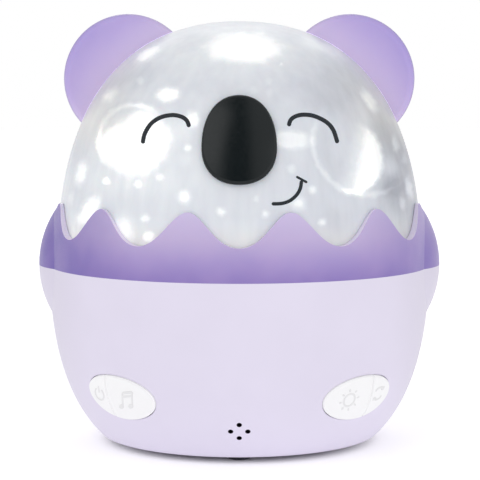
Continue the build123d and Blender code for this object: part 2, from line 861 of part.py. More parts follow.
pinion_tooth = gear_tooth(pinion_teeth)
with BuildPart() as pinion:
    with BuildSketch(Plane.XY.offset(pinion_bottom)):
        with Locations((0, gear_distance)):
            Circle(gear_module * (pinion_teeth / 2 - dedendum_ratio))
            with PolarLocations(0, pinion_teeth, start_angle=90 + 180 / pinion_teeth):
                add(pinion_tooth)
            Circle(shaft_radius, mode=Mode.SUBTRACT)
    extrude(amount=pinion_height)
write(pinion.part, "pinion")


# Turntable: disc on the hub with a gear below it and a rib that seats the film dome.
turntable_tooth = gear_tooth(turntable_teeth)
gear_root = gear_module * (turntable_teeth / 2 - dedendum_ratio)
with BuildPart() as turntable:
    with BuildSketch(Plane.XY.offset(gear_bottom)):
        Circle(gear_root)
        with PolarLocations(0, turntable_teeth, start_angle=90):
            add(turntable_tooth)
        Circle(gear_root - gear_rim, mode=Mode.SUBTRACT)
        Circle(shoulder_radius)
    extrude(amount=gear_height)
    with BuildSketch(Plane.XY.offset(gear_top)):
        Circle(turntable_radius)
    extrude(amount=turntable_thickness)
    with BuildSketch(Plane.XY.offset(turntable_top)):
        Circle(film_radius - film_wall - fit_gap)
        Circle(film_radius - film_wall - fit_gap - film_rib_wall, mode=Mode.SUBTRACT)
    extrude(amount=film_rib_height)
    with BuildSketch(Plane.XY.offset(gear_bottom)):
        Circle(hub_radius + running_gap)
    extrude(amount=gear_height + turntable_thickness, mode=Mode.SUBTRACT)
write(turntable.part, "turntable")

with BuildPart() as film_dome:
    with BuildSketch(Plane.XZ):
        with BuildLine():
            CenterArc((0, turntable_top), film_radius, 0, 90)
            Line((0, turntable_top + film_radius), (0, turntable_top + film_radius - film_wall))
            CenterArc((0, turntable_top), film_radius - film_wall, 0, 90)
            Line((film_radius - film_wall, turntable_top), (film_radius, turntable_top))
        make_face()
    revolve(axis=Axis.Z)
write(film_dome.part, "film_dome")


# Light source: a hollow post that holds the turntable down and carries the light board.
with BuildPart() as led_post:
    with BuildSketch(Plane.XY.offset(hub_top - post_spigot_length)):
        Circle(hub_radius - hub_wall - fit_gap)
    extrude(amount=post_spigot_length)
    with BuildSketch(Plane.XY.offset(hub_top)):
        Circle(shoulder_radius)
    extrude(amount=post_flange_thickness)
    with BuildSketch(Plane.XY.offset(hub_top + post_flange_thickness)):
        Circle(post_radius)
    extrude(amount=post_height)
    with BuildSketch(Plane.XY.offset(hub_top - post_spigot_length)):
        Circle(post_radius - post_wall)
    extrude(amount=post_spigot_length + post_flange_thickness + post_height, mode=Mode.SUBTRACT)
write(led_post.part, "led_post")

with BuildPart() as led_board:
    with BuildSketch(Plane.XY.offset(post_top)):
        Circle(led_board_radius)
    extrude(amount=board_thickness)
write(led_board.part, "led_board")

with BuildPart() as leds:
    with BuildSketch(Plane.XY.offset(led_top)):
        with PolarLocations(led_offset, led_count):
            Circle(led_radius)
    extrude(amount=led_body_height + led_radius)
    fillet(leds.edges().group_by(Axis.Z)[-1], led_radius - fit_gap)
write(leds.part, "leds")


# Dome: frosted cover, with a slot for each ear's tab and a hole for the nose's peg.
ear_turn = math.radians(ear_lean)
tab_plane = Plane(
    (ear_offset + tab_start * math.cos(ear_turn), ear_depth, ear_height + tab_start * math.sin(ear_turn)),
    x_dir=(0, 1, 0),
    z_dir=(math.cos(ear_turn), 0, math.sin(ear_turn)),
)
with BuildPart() as ear_slot:
    with BuildSketch(tab_plane):
        Rectangle(tab_thickness + 2 * fit_gap, tab_width + 2 * fit_gap)
    extrude(amount=ear_radius, both=True)

with BuildPart() as dome:
    add(dome_outside)
    add(dome_form(-dome_wall, flange_top), mode=Mode.SUBTRACT)
    add(ear_slot.part, mode=Mode.SUBTRACT)
    add(mirror(ear_slot.part, about=Plane.YZ, mode=Mode.PRIVATE), mode=Mode.SUBTRACT)
    with BuildSketch(Plane.XZ):
        with Locations((0, nose_widest)):
            Circle(nose_peg_radius + fit_gap)
    extrude(amount=dome_radius, mode=Mode.SUBTRACT)
write(dome.part, "dome")


# Collar: ring round the dome with a wavy edge, a seat flange below and half of each side lobe.
half_wave = dome_radius * math.sin(math.pi / wave_count)
wave_margin = half_wave / 8
wave_planes = []
for i in range(wave_count):
    turn = 2 * math.pi * i / wave_count
    reach = Vector(math.sin(turn), -math.cos(turn), 0)
    wave_planes.append(
        Plane(reach * flange_radius, x_dir=(math.cos(turn), math.sin(turn), 0), z_dir=reach)
    )

with BuildPart() as collar:
    with BuildSketch(Plane.XZ):
        with BuildLine():
            TangentArc((body_radius, seam_height), (collar_top_radius, collar_top_height), tangent=(0, 1))
            Polyline(
                (collar_top_radius, collar_top_height),
                (flange_radius, collar_top_height),
                (flange_radius, seam_height),
                (body_radius, seam_height),
            )
        make_face()
    revolve(axis=Axis.Z)
    with BuildSketch(*wave_planes):
        with BuildLine():
            for side in (-1, 1):
                Bezier(
                    (0, wave_valley_height),
                    (side * wave_valley_handle * half_wave, wave_valley_height),
                    (side * (1 - wave_peak_handle) * half_wave, wave_peak_height),
                    (side * half_wave, wave_peak_height),
                )
                Polyline(
                    (side * half_wave, wave_peak_height),
                    (side * (half_wave + wave_margin), wave_peak_height),
                    (side * (half_wave + wave_margin), dome_top),
                )
            Line((-half_wave - wave_margin, dome_top), (half_wave + wave_margin, dome_top))
        make_face()
    extrude(amount=body_radius - flange_radius + lobe_radius, mode=Mode.SUBTRACT)
    with Locations(*lobe_points):
        Sphere(lobe_radius)
    split(bisect_by=Plane.XY.offset(seam_height), keep=Keep.TOP)
    add(dome_seat, mode=Mode.SUBTRACT)
    with BuildSketch(Plane.XY.offset(seam_height)):
        Circle(flange_radius)
    extrude(amount=collar_flange, mode=Mode.SUBTRACT)
    with BuildSketch(Plane.XY.offset(seam_height)):
        with PolarLocations(ring_screw_circle, ring_screw_count, start_angle=180 / ring_screw_count):
            Circle(screw_head_radius + fit_gap)
    extrude(amount=ring_screw_sink, mode=Mode.SUBTRACT)
    with BuildSketch(Plane.XY.offset(seam_height)):
        with PolarLocations(ring_screw_circle, ring_screw_count, start_angle=180 / ring_screw_count):
            Circle(screw_radius + fit_gap)
    extrude(amount=collar_flange, mode=Mode.SUBTRACT)
write(collar.part, "collar")


# Head ring: clamps the dome's lower edge to the collar's flange.
with BuildPart() as head_ring:
    with BuildSketch(Plane.XY.offset(flange_top)):
        Circle(ring_outer)
        Circle(ring_inner, mode=Mode.SUBTRACT)
        with PolarLocations(ring_screw_circle, ring_screw_count, start_angle=180 / ring_screw_count):
            Circle(screw_radius + fit_gap, mode=Mode.SUBTRACT)
    extrude(amount=head_ring_height)
write(head_ring.part, "head_ring")

ring_screw = screw_form(screw_head_radius, ring_screw_sink - fit_gap, screw_radius, head_ring_height)
with BuildPart() as ring_screws:
    ring_points = polar_points(ring_screw_circle, ring_screw_count, 180 / ring_screw_count)
    with Locations(*[Location((x, y, seam_height + ring_screw_sink), (180, 0, 0)) for x, y in ring_points]):
        add(ring_screw)
write(ring_screws.part, "ring_screws")


# Ears: round discs cut to the dome, each with a tab through its slot.
for name, mirrored in (("ear_right", False), ("ear_left", True)):
    with BuildPart() as ear:
        with BuildSketch(Plane.XZ.offset(-ear_depth - ear_thickness / 2)):
            with Locations((ear_offset, ear_height)):
                Circle(ear_radius)
        extrude(amount=ear_thickness)
        fillet(ear.edges().filter_by(GeomType.CIRCLE), ear_round)
        add(dome_seat, mode=Mode.SUBTRACT)
        with BuildSketch(tab_plane):
            Rectangle(tab_thickness, tab_width)
        extrude(amount=tab_end - tab_start)
        if mirrored:
            mirror(about=Plane.YZ, mode=Mode.REPLACE)
    write(ear.part, name)


# Nose: egg-shaped piece lying on the dome, with a peg through the wall.
with BuildPart() as nose:
    with BuildSketch(Plane.XZ):
        with BuildLine():
            for side in (-1, 1):
                Bezier(
                    (0, nose_top),
                    (side * nose_half_width * nose_tip_handle, nose_top),
                    (side * nose_half_width, nose_widest + nose_brow_handle * (nose_top - nose_widest)),
                    (side * nose_half_width, nose_widest),
                )
                Bezier(
                    (side * nose_half_width, nose_widest),
                    (side * nose_half_width, nose_widest - nose_cheek_handle * (nose_widest - nose_bottom)),
                    (side * nose_half_width * nose_foot_handle, nose_bottom),
                    (0, nose_bottom),
                )
        make_face()
    extrude(amount=2 * dome_radius)
    add(dome_form(nose_proud, flange_top), mode=Mode.INTERSECT)
    add(dome_seat, mode=Mode.SUBTRACT)
    fillet(nose.faces().sort_by(Axis.Y)[0].edges(), nose_round)
    with BuildSketch(Plane.XZ.offset(dome_radius - 3 * dome_wall)):
        with Locations((0, nose_widest)):
            Circle(nose_peg_radius)
    extrude(until=Until.NEXT)
write(nose.part, "nose")
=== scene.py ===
import json
import math

import bpy
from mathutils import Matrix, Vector
from mathutils.bvhtree import BVHTree


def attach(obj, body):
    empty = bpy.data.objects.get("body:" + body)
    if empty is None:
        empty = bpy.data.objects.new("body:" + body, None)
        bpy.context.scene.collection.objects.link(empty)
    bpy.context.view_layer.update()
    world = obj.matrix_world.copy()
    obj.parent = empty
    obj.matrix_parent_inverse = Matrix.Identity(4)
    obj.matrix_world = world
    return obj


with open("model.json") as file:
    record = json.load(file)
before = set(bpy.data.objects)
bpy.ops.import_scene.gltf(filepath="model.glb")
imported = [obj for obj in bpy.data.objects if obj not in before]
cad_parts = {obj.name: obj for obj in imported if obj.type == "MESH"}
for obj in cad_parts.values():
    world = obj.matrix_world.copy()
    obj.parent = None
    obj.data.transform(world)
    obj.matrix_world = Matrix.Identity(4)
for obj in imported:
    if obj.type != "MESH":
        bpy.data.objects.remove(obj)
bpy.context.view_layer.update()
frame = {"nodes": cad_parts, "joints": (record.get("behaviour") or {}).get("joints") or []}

nodes = frame["nodes"]
scene = bpy.context.scene
MM = 0.001

# The photograph's view, taken as 480 by 480 pixels; the camera's place in metres, its sensor in millimetres.
PHOTO_SIDE = 480
PHOTO_MIDDLE = PHOTO_SIDE / 2
FOCAL_PIXELS = 1828.0
CAMERA_PLACE = Vector((0.00024, -0.620, 0.1212))
CAMERA_PITCH = math.radians(4.94)
SENSOR_WIDTH = 36.0


# Colours.
def linear(red, green, blue):
    """Colour as written on screen, 0 to 255, in the shader's linear values, by the sRGB curve."""
    values = [c / 255 for c in (red, green, blue)]
    return tuple(c / 12.92 if c <= 0.04045 else ((c + 0.055) / 1.055) ** 2.4 for c in values) + (1.0,)


def shade(colour, factor):
    """A colour made lighter or darker."""
    return tuple(min(1.0, c * factor) for c in colour[:3]) + (1.0,)


BLACK = linear(0, 0, 0)
WHITE = linear(255, 255, 255)

# Noise: its middle value, the ranges of it that are used, its detail, and the size of a cloud in metres.
NOISE_MIDDLE = (0.5, 0.5, 0.5)
CLOUD_RANGE = (0.3, 0.7)
MOTTLE_RANGE = (0.4, 0.7)
GRAIN_RANGE = (0.25, 0.75)
SOFT_DETAIL = 2.0
FINE_DETAIL = 3.0
CLOUD_SIZE = 0.018
# Vector operations that give a plain value.
PLAIN_OUTCOME = ("DISTANCE", "DOT_PRODUCT", "LENGTH")
# Sockets of the Mix node that carry colours.
MIX_SHARE = 0
MIX_FIRST = 6
MIX_SECOND = 7
MIX_RESULT = 2


class Paint:
    """A material, and the nodes that feed its Principled shader."""

    def __init__(self, name, **settings):
        self.material = bpy.data.materials.new(name)
        self.material.use_nodes = True
        self.tree = self.material.node_tree
        self.shader = self.tree.nodes["Principled BSDF"]
        self.position = self.add("ShaderNodeTexCoord").outputs["Object"]
        for socket, value in settings.items():
            self.shader.inputs[socket.replace("_", " ")].default_value = value

    def feed(self, socket, value):
        """Links a socket to another one, or sets its value."""
        if isinstance(value, bpy.types.NodeSocket):
            self.tree.links.new(value, socket)
        else:
            socket.default_value = value

    def add(self, kind, inputs=(), **options):
        """A new node with its options set and its inputs fed."""
        node = self.tree.nodes.new(kind)
        for key, value in options.items():
            setattr(node, key, value)
        for key, value in dict(inputs).items():
            self.feed(node.inputs[key], value)
        return node

    def use(self, socket, value):
        """Feeds one of the shader's own sockets."""
        self.feed(self.shader.inputs[socket], value)

    def math(self, operation, first, second=0.0):
        """Outcome of an operation on plain values."""
        return self.add("ShaderNodeMath", {0: first, 1: second}, operation=operation).outputs[0]

    def vector(self, operation, *values):
        """Outcome of an operation on vectors."""
        node = self.add("ShaderNodeVectorMath", dict(enumerate(values)), operation=operation)
        return node.outputs["Value" if operation in PLAIN_OUTCOME else "Vector"]

    def along(self, vector, direction):
        """How far a vector reaches in a direction."""
        return self.vector("DOT_PRODUCT", vector, direction)

    def away(self, place, at=None):
        """Distance from a point on the object."""
        return self.vector("DISTANCE", at or self.position, place)

    def facing(self, direction):
        """How far the surface looks in a direction: 1 along it, -1 against it."""
        return self.along(self.add("ShaderNodeNewGeometry").outputs["True Normal"], direction)

    def axis(self, name):
        """One coordinate of the place on the object."""
        return self.add("ShaderNodeSeparateXYZ", {"Vector": self.position}).outputs[name]

    def aside(self):
        """Distance from the object's middle plane."""
        return self.math("ABSOLUTE", self.axis("X"))

    def flat(self, first, second):
        """Two values as a place on a plane."""
        return self.add("ShaderNodeCombineXYZ", {"X": first, "Y": second}).outputs[0]

    def total(self, values):
        """Sum of several values."""
        out = values[0]
        for value in values[1:]:
            out = self.math("ADD", out, value)
        return out

    def span(self, value, low, high, start=0.0, end=1.0, kind="LINEAR"):
        """A value between low and high brought to start and end."""
        inputs = {"Value": value, "From Min": low, "From Max": high, "To Min": start, "To Max": end}
        return self.add("ShaderNodeMapRange", inputs, interpolation_type=kind).outputs["Result"]

    def ease(self, value, low, high, end=1.0):
        """A value between low and high brought to zero and end, with a soft start and stop."""
        return self.span(value, low, high, 0.0, end, "SMOOTHSTEP")

    def stretched(self, scale):
        """The place on the object with its three coordinates scaled."""
        return self.add("ShaderNodeMapping", {"Vector": self.position, "Scale": scale}).outputs[0]

    def noise(self, size, detail=SOFT_DETAIL, at=None):
        """Cloudy value from 0 to 1 with features of that size, in metres if no other place is given."""
        inputs = {"Vector": at or self.position, "Scale": 1 / size, "Detail": detail}
        return self.add("ShaderNodeTexNoise", inputs).outputs["Fac"]

    def smear(self, place, scale, amount):
        """A place shifted to and fro by a cloudy amount."""
        inputs = {"Vector": place, "Scale": scale, "Detail": FINE_DETAIL}
        cloud = self.add("ShaderNodeTexNoise", inputs).outputs["Color"]
        drift = self.vector("SUBTRACT", cloud, NOISE_MIDDLE)
        return self.vector("MULTIPLY_ADD", drift, amount, place)

    def scattered(self, scale):
        """Distance to the nearest of scattered points, in shares of the space between them."""
        inputs = {"Vector": self.position, "Scale": scale}
        return self.add("ShaderNodeTexVoronoi", inputs).outputs["Distance"]

    def ramp(self, value, stops):
        """Colour by value, from stops of (position, colour)."""
        node = self.add("ShaderNodeValToRGB", {"Fac": value})
        band = node.color_ramp
        while len(band.elements) < len(stops):
            band.elements.new(0.5)
        for element, (place, colour) in zip(band.elements, stops):
            element.position = place
            element.color = colour
        return node.outputs["Color"]

    def blend(self, share, first, second, mode="MIX"):
        """Two colours mixed, with the second one's share."""
        node = self.add("ShaderNodeMix", data_type="RGBA", blend_type=mode)
        self.feed(node.inputs[MIX_SHARE], share)
        self.feed(node.inputs[MIX_FIRST], first)
        self.feed(node.inputs[MIX_SECOND], second)
        return node.outputs[MIX_RESULT]

    def two_tone(self, cloud, first, second):
        """Colour that drifts between two tones with a cloudy value."""
        return self.ramp(cloud, list(zip(CLOUD_RANGE, (first, second))))

    def clouded(self, colour, spread):
        """A colour that is a little darker and lighter in clouds."""
        return self.two_tone(self.noise(CLOUD_SIZE), shade(colour, 1 - spread), shade(colour, 1 + spread))

    def mottled(self, tone, size, share, colour):
        """A tone with clouds of another colour."""
        return self.blend(self.span(self.noise(size), *MOTTLE_RANGE, 0.0, share), tone, colour)

    def shine(self, share, colour=WHITE):
        """Sets the surface's own light: none where the share is 0, all of the colour where it is 1."""
        self.use("Emission Color", self.blend(share, BLACK, colour))

    def bump(self, height, distance):
        """Sets a relief of that depth in metres."""
        inputs = {"Height": height, "Strength": 1.0, "Distance": distance}
        self.use("Normal", self.add("ShaderNodeBump", inputs).outputs["Normal"])

    def surface(self, roughness, grain, depth, swing=0.05):
        """Fine moulded or rolled grain: uneven gloss and a shallow relief."""
        fine = self.noise(grain, FINE_DETAIL)
        self.use("Roughness", self.span(fine, *GRAIN_RANGE, roughness - swing, roughness + swing))
        self.bump(fine, depth)


# Plain materials.
def moulded(name, colour, spread=0.025, roughness=0.42, grain=0.0007, depth=0.000012, **settings):
    """Moulded plastic with a faint cloudy tone and a satin grain."""
    paint = Paint(name, **settings)
    paint.use("Base Color", paint.clouded(colour, spread))
    paint.surface(roughness, grain, depth)
    return paint.material


# Metal: size of its streaks and how far they are squeezed in height, tone of the dark ones, and the gloss.
METAL_STREAK = 0.0012
METAL_STRETCH = (1.0, 1.0, 12.0)
METAL_DARK = 0.86
METAL_RANGE = (0.2, 0.8)
METAL_ROUGHNESS = (0.22, 0.4)
METAL_RELIEF = 0.000006


def metal(name, colour):
    """Drawn or plated metal with fine streaks."""
    paint = Paint(name, Metallic=1.0)
    streak = paint.noise(METAL_STREAK, FINE_DETAIL, paint.stretched(METAL_STRETCH))
    paint.use("Base Color", paint.two_tone(streak, shade(colour, METAL_DARK), colour))
    paint.use("Roughness", paint.span(streak, *METAL_RANGE, *METAL_ROUGHNESS))
    paint.bump(streak, METAL_RELIEF)
    return paint.material


# Circuit board: the net of tracks, and the tone of every other field between them.
TRACKS = {"Scale": 320.0, "Mortar Size": 0.012, "Brick Width": 0.9, "Row Height": 0.6}
FIELD_SHADE = 0.88


def circuit(name, mask, copper):
    """Circuit board: solder mask over a net of tracks."""
    paint = Paint(name, Coat_Weight=0.35, Coat_Roughness=0.2)
    colours = {"Color1": mask, "Color2": shade(mask, FIELD_SHADE), "Mortar": copper}
    net = paint.add("ShaderNodeTexBrick", {"Vector": paint.position, **TRACKS, **colours})
    paint.use("Base Color", net.outputs["Color"])
    paint.surface(roughness=0.4, grain=0.0004, depth=0.000006)
    return paint.material


# Camera.
def photo_camera():
    """The camera that took the photograph."""
    data = bpy.data.cameras.new("photo_camera")
    data.sensor_fit = "HORIZONTAL"
    data.sensor_width = SENSOR_WIDTH
    data.lens = SENSOR_WIDTH * FOCAL_PIXELS / PHOTO_SIDE
    camera = bpy.data.objects.new("photo_camera", data)
    camera.location = CAMERA_PLACE
    camera.rotation_euler = (math.pi / 2 - CAMERA_PITCH, 0, 0)
    scene.collection.objects.link(camera)
    scene.camera = camera
    bpy.context.view_layer.update()
    return camera


camera_turn = photo_camera().matrix_world.to_3x3()


# Places on the CAD's surfaces.
def tree_of(name):
    """Search tree over a CAD node's surface."""
    mesh = nodes[name].data
    corners = [v.co.copy() for v in mesh.vertices]
    return BVHTree.FromPolygons(corners, [tuple(p.vertices) for p in mesh.polygons])


def pixel_ray(x, y):
    """Direction from the camera through a pixel of the photograph."""
    toward = Vector(((x - PHOTO_MIDDLE) / FOCAL_PIXELS, (PHOTO_MIDDLE - y) / FOCAL_PIXELS, -1.0))
    return (camera_turn @ toward).normalized()


dome_tree = tree_of("dome")


def on_dome(x, y):
    """Place on the dome that a pixel of the photograph shows, and the surface's direction there."""
    return dome_tree.ray_cast(CAMERA_PLACE, pixel_ray(x, y))[:2]


# Strokes: raised lines that follow a surface, with round ends. A section's points are shares of the half
# width across and of the height up; below zero they sink into the surface.
CAP_ANGLES = [math.radians(a) for a in (8, 26, 45, 63, 80)]
SECTION = [(-1.0, -1.0), (-1.0, 0.4), (-0.78, 0.9), (0.0, 1.0), (0.78, 0.9), (1.0, 0.4), (1.0, -1.0)]
SINK = 0.00006
# Points between two given ones; a station's length in half widths; the most stations on a stroke.
CURVE_STEPS = 14
STATION_LENGTH = 0.5
MOST_STATIONS = 160
# Allowance for rounding when a station falls on a point, and the shortest piece of a path.
ROUNDING = 1e-12
SHORTEST = 1e-9


def line(points, half, closed=False):
    """A line that strokes takes: the points it passes through and half its width."""
    return points, half, closed


def new_object(name, corners, faces):
    """An object with a new mesh, put into the scene."""
    mesh = bpy.data.meshes.new(name)
    mesh.from_pydata(corners, [], faces)
    thing = bpy.data.objects.new(name, mesh)
    scene.collection.objects.link(thing)
    return thing


def curve_point(before, start, end, after, t):
    """Point of a Catmull-Rom curve between start and end."""
    return 0.5 * (2 * start + (end - before) * t
                  + (2 * before - 5 * start + 4 * end - after) * t * t
                  + (3 * start - before - 3 * end + after) * t ** 3)


def smooth_path(points, closed):
    """Points along a curve that passes through the given ones."""
    points = [Vector(p) for p in points]
    if len(points) == 2:
        return [points[0].lerp(points[1], i / CURVE_STEPS) for i in range(CURVE_STEPS + 1)]
    count = len(points)
    out = []
    for i in range(count if closed else count - 1):
        around = range(i - 1, i + 3)
        near = [points[k % count if closed else min(max(k, 0), count - 1)] for k in around]
        out += [curve_point(*near, step / CURVE_STEPS) for step in range(CURVE_STEPS)]
    return out if closed else out + [points[-1]]


def stations(path, half, closed):
    """Places along a path with their direction and the stroke's half width there."""
    route = path + [path[0]] if closed else path
    ends = [0.0]
    for start, end in zip(route, route[1:]):
        ends.append(ends[-1] + (end - start).length)
    total = ends[-1]
    between = total - 2 * half
    inner = max(2, int(between / max(half * STATION_LENGTH, total / MOST_STATIONS)))
    if closed:
        marks = [(total * i / (inner + 2), half) for i in range(inner + 2)]
    else:
        caps = [(half * (1 - math.cos(a)), half * math.sin(a)) for a in CAP_ANGLES]
        marks = caps + [(half + between * i / inner, half) for i in range(inner + 1)]
        marks += [(total - mark, width) for mark, width in reversed(caps)]
    out = []
    for mark, width in marks:
        i = max(i for i in range(len(route) - 1) if ends[i] <= mark + ROUNDING)
        share = (mark - ends[i]) / max(ends[i + 1] - ends[i], SHORTEST)
        way = (route[i + 1] - route[i]).normalized()
        out.append((route[i].lerp(route[i + 1], share), way, width))
    return out


def section_at(spot, way, width, place, height):
    """Corners of a stroke's section at one station, laid on the surface."""
    side = Vector((-way.y, way.x))
    out = []
    for across, up in SECTION:
        flat = spot + side * across * width
        ground, normal = place(flat.x, flat.y)
        out.append(ground + normal * (height * up if up > 0 else -SINK))
    return out


def skin(rings, closed):
    """Faces between neighbouring sections, and at the ends of an open stroke."""
    count = len(SECTION)
    faces = []
    for a, b in list(zip(rings, rings[1:])) + ([(rings[-1], rings[0])] if closed else []):
        for i in range(count):
            j = (i + 1) % count
            faces.append((a[i], a[j], b[j], b[i]))
    return faces if closed else faces + [tuple(reversed(rings[0])), tuple(rings[-1])]


def strokes(name, lines, place, height, body, material):
    """One piece made of raised strokes along the lines."""
    corners, faces = [], []
    for points, half, closed in lines:
        rings = []
        for spot, way, width in stations(smooth_path(points, closed), half, closed):
            first = len(corners)
            corners += section_at(spot, way, width, place, height)
            rings.append(range(first, len(corners)))
        faces += skin(rings, closed)
    piece = new_object(name, corners, faces)
    mesh = piece.data
    mesh.validate()
    mesh.polygons.foreach_set("use_smooth", [True] * len(mesh.polygons))
    mesh.materials.append(material)
    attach(piece, body)


# Face: closed eyes and half a smile, in pixels of the photograph; the print's height is in metres.
EYE_HALF = 2.1
MOUTH_HALF = 1.75
TICK_HALF = 1.2
INK_HEIGHT = 0.00009
LEFT_EYE = [(142.6, 143.6), (145.0, 133.2), (151.6, 123.2), (161.2, 117.2), (172.5, 115.1),
            (181.5, 116.8), (187.0, 120.9), (189.2, 127.2)]
RIGHT_EYE = [(288.6, 126.3), (290.8, 119.8), (296.5, 116.0), (304.5, 114.7), (314.8, 116.3),
             (326.2, 122.0), (333.2, 130.0), (337.6, 143.2)]
SMILE = [(271.6, 203.8), (281.5, 203.5), (289.6, 200.8), (296.4, 195.2), (300.2, 188.6), (301.6, 180.4)]
SMILE_TICK = [(296.2, 176.5), (307.3, 182.6)]
FACE = {"eye_left": [line(LEFT_EYE, EYE_HALF)], "eye_right": [line(RIGHT_EYE, EYE_HALF)],
        "smile": [line(SMILE, MOUTH_HALF), line(SMILE_TICK, TICK_HALF)]}

ink = moulded("ink", linear(36, 41, 46), spread=0.08, roughness=0.5, grain=0.0003, depth=0.000006,
              Specular_IOR_Level=0.2)
for name, lines in FACE.items():
    strokes(name, lines, on_dome, INK_HEIGHT, "head", ink)


# Key icons: millimetres on the key's face, from the icon's middle; their height is in metres.
ICON_HALF = 0.32
ICON_HEIGHT = 0.00016
ICON_RADIUS = 2.2
# Power: the open ring's start and end in degrees, and the bar in its gap.
POWER_ARC = (125, 415)
POWER_BAR = [(0, 0.5), (0, 3.0)]
# Two notes: stems, beams and heads, with their half widths.
STEM_HALF = 0.34
STEMS = [[(-2.0, -2.3), (-2.0, 2.6)], [(2.0, -1.7), (2.0, 3.2)]]
UPPER_BEAM_HALF = 0.42
UPPER_BEAM = [(-2.0, 2.6), (2.0, 3.2)]
LOWER_BEAM_HALF = 0.36
LOWER_BEAM = [(-2.0, 1.2), (2.0, 1.8)]
HEAD_HALF = 0.85
HEADS = [[(-3.6, -2.9), (-1.6, -2.3)], [(0.4, -2.3), (2.4, -1.7)]]
# Sun: its rays' ends and number, and how many degrees the first one is turned from the right.
RAY_START = 3.0
RAY_END = 4.0
RAY_COUNT = 8
RAY_TURN = 12
# Turning arrows: where each starts and ends in degrees, the head's length, and its half width in lengths.
ARROWS = [(330, 210), (150, 30)]
ARROW_HEAD = 0.9
BARB_SPREAD = 0.8
# The oval opening's middle: degrees from the front, millimetres from the axis and above the ground.
OVAL_AZIMUTH = math.radians(40.75)
OVAL_RADIUS = 58.614
OVAL_HEIGHT = 21.0
# Metres in front of the key from which its face is searched.
SEARCH_START = 0.01


def polar(radius, degrees):
    """Point at a distance and an angle from the right, against the clock."""
    return (radius * math.cos(math.radians(degrees)), radius * math.sin(math.radians(degrees)))


def arc(radius, start=0.0, end=360.0, count=12):
    """Points of an arc or a whole circle, between angles in degrees."""
    steps = count if abs(end - start) >= 360 else count - 1
    return [polar(radius, start + (end - start) * i / steps) for i in range(count)]


def arrow(radius, start, end):
    """An arc with an arrow head at its end."""
    tip = Vector(polar(radius, end))
    out = Vector(polar(1, end))
    ahead = Vector((-out.y, out.x)) * (1 if end > start else -1)
    barbs = [tip - ahead * ARROW_HEAD + out * ARROW_HEAD * side for side in (-BARB_SPREAD, BARB_SPREAD)]
    return [line(arc(radius, start, end), ICON_HALF)] + [line([barb, tip], ICON_HALF) for barb in barbs]


ray_turns = [360 / RAY_COUNT * i + RAY_TURN for i in range(RAY_COUNT)]
POWER = [line(arc(ICON_RADIUS, *POWER_ARC), ICON_HALF), line(POWER_BAR, ICON_HALF)]
NOTES = [line(stem, STEM_HALF) for stem in STEMS]
NOTES += [line(UPPER_BEAM, UPPER_BEAM_HALF), line(LOWER_BEAM, LOWER_BEAM_HALF)]
NOTES += [line(head, HEAD_HALF) for head in HEADS]
SUN = [line(arc(ICON_RADIUS), ICON_HALF, closed=True)]
SUN += [line([polar(RAY_START, turn), polar(RAY_END, turn)], ICON_HALF) for turn in ray_turns]
TURN = [each for ends in ARROWS for each in arrow(ICON_RADIUS, *ends)]
# Each icon with its place from the oval's middle, and how far it leans along the oval for each step up.
ICONS = {"power": (POWER, (-8.7, 0.3), 0.2), "music": (NOTES, (4.0, -0.2), 0.3),
         "light": (SUN, (-4.8, 0.0), 0.0), "rotate": (TURN, (8.4, 0.5), 0.0)}

icon_white = moulded("icon_white", linear(233, 233, 234), spread=0.015, roughness=0.5)
press_axes = {j["child"]: Vector(j["axis"]) for j in frame["joints"] if j["name"].endswith("_press")}


def on_key(name, offset, lean):
    """Lays an icon's millimetres on a key's face."""
    tree = tree_of(name + "_key")
    inward = press_axes[name].normalized()
    sideways = Vector((inward.y, -inward.x, 0)).normalized()
    upward = sideways.cross(inward)
    oval_x = -math.copysign(OVAL_RADIUS, inward.x) * math.sin(OVAL_AZIMUTH)
    oval = Vector((oval_x, -OVAL_RADIUS * math.cos(OVAL_AZIMUTH), OVAL_HEIGHT))
    centre = oval + sideways * offset[0] + upward * offset[1]

    def place(x, y):
        start = (centre + sideways * (x + lean * y) + upward * y) * MM - inward * SEARCH_START
        return tree.ray_cast(start, inward)[:2]
    return place


for name, (lines, offset, lean) in ICONS.items():
    strokes(name + "_icon", lines, on_key(name, offset, lean), ICON_HEIGHT, name, icon_white)


# Painted light and shade on the dome's front: the glow of the projected moon, planet and stars, painted
# light at the crown, and painted shade. In pixels of the photograph. A patch is (x, y, half width, half
# height, turn clockwise in degrees, softness, strength); below zero it is painted shade, darker than what
# lies round it.
CROWN_PAINTED_LIGHT = [
    (245, 46, 36, 14, 2, 0.75, 0.52), (312, 44, 14, 5, 20, 0.8, 0.2), (240, 56, 80, 12, 0, 0.9, 0.08),
    (232, 66, 52, 14, 0, 0.9, 0.12)]
MOON = [
    (135.5, 141, 33, 32, 0, 0.3, 0.5), (116, 118, 19, 9, -36, 0.85, -0.36),
    (179, 129, 15, 13, 0, 0.9, 0.16)]
PLANET = [
    (292, 140, 20, 9.5, 4, 0.35, 0.29), (324, 150, 13, 26, -12, 0.7, -0.08),
    (394, 187, 12, 7, -20, 0.8, -0.2)]
PAINTED_SHADE_PATCHES = [
    (126, 84, 36, 12, -34, 0.8, -0.18), (348, 84, 36, 14, 32, 0.8, -0.16),
    (402, 190, 15, 52, -10, 0.9, -0.32), (78, 148, 9, 20, 14, 0.9, -0.12),
    (322, 99, 26, 12, 24, 0.9, -0.16), (386, 132, 11, 24, -22, 0.9, -0.22),
    (337, 226, 14, 14, 0, 0.9, -0.14), (77, 180, 12, 42, 8, 0.9, -0.14),
    (408, 157, 8, 18, -12, 0.9, -0.2), (387, 192, 12, 16, -10, 0.9, -0.16),
    (290, 37, 16, 6, 10, 0.9, -0.12), (192, 37, 14, 6, -12, 0.9, -0.1)]
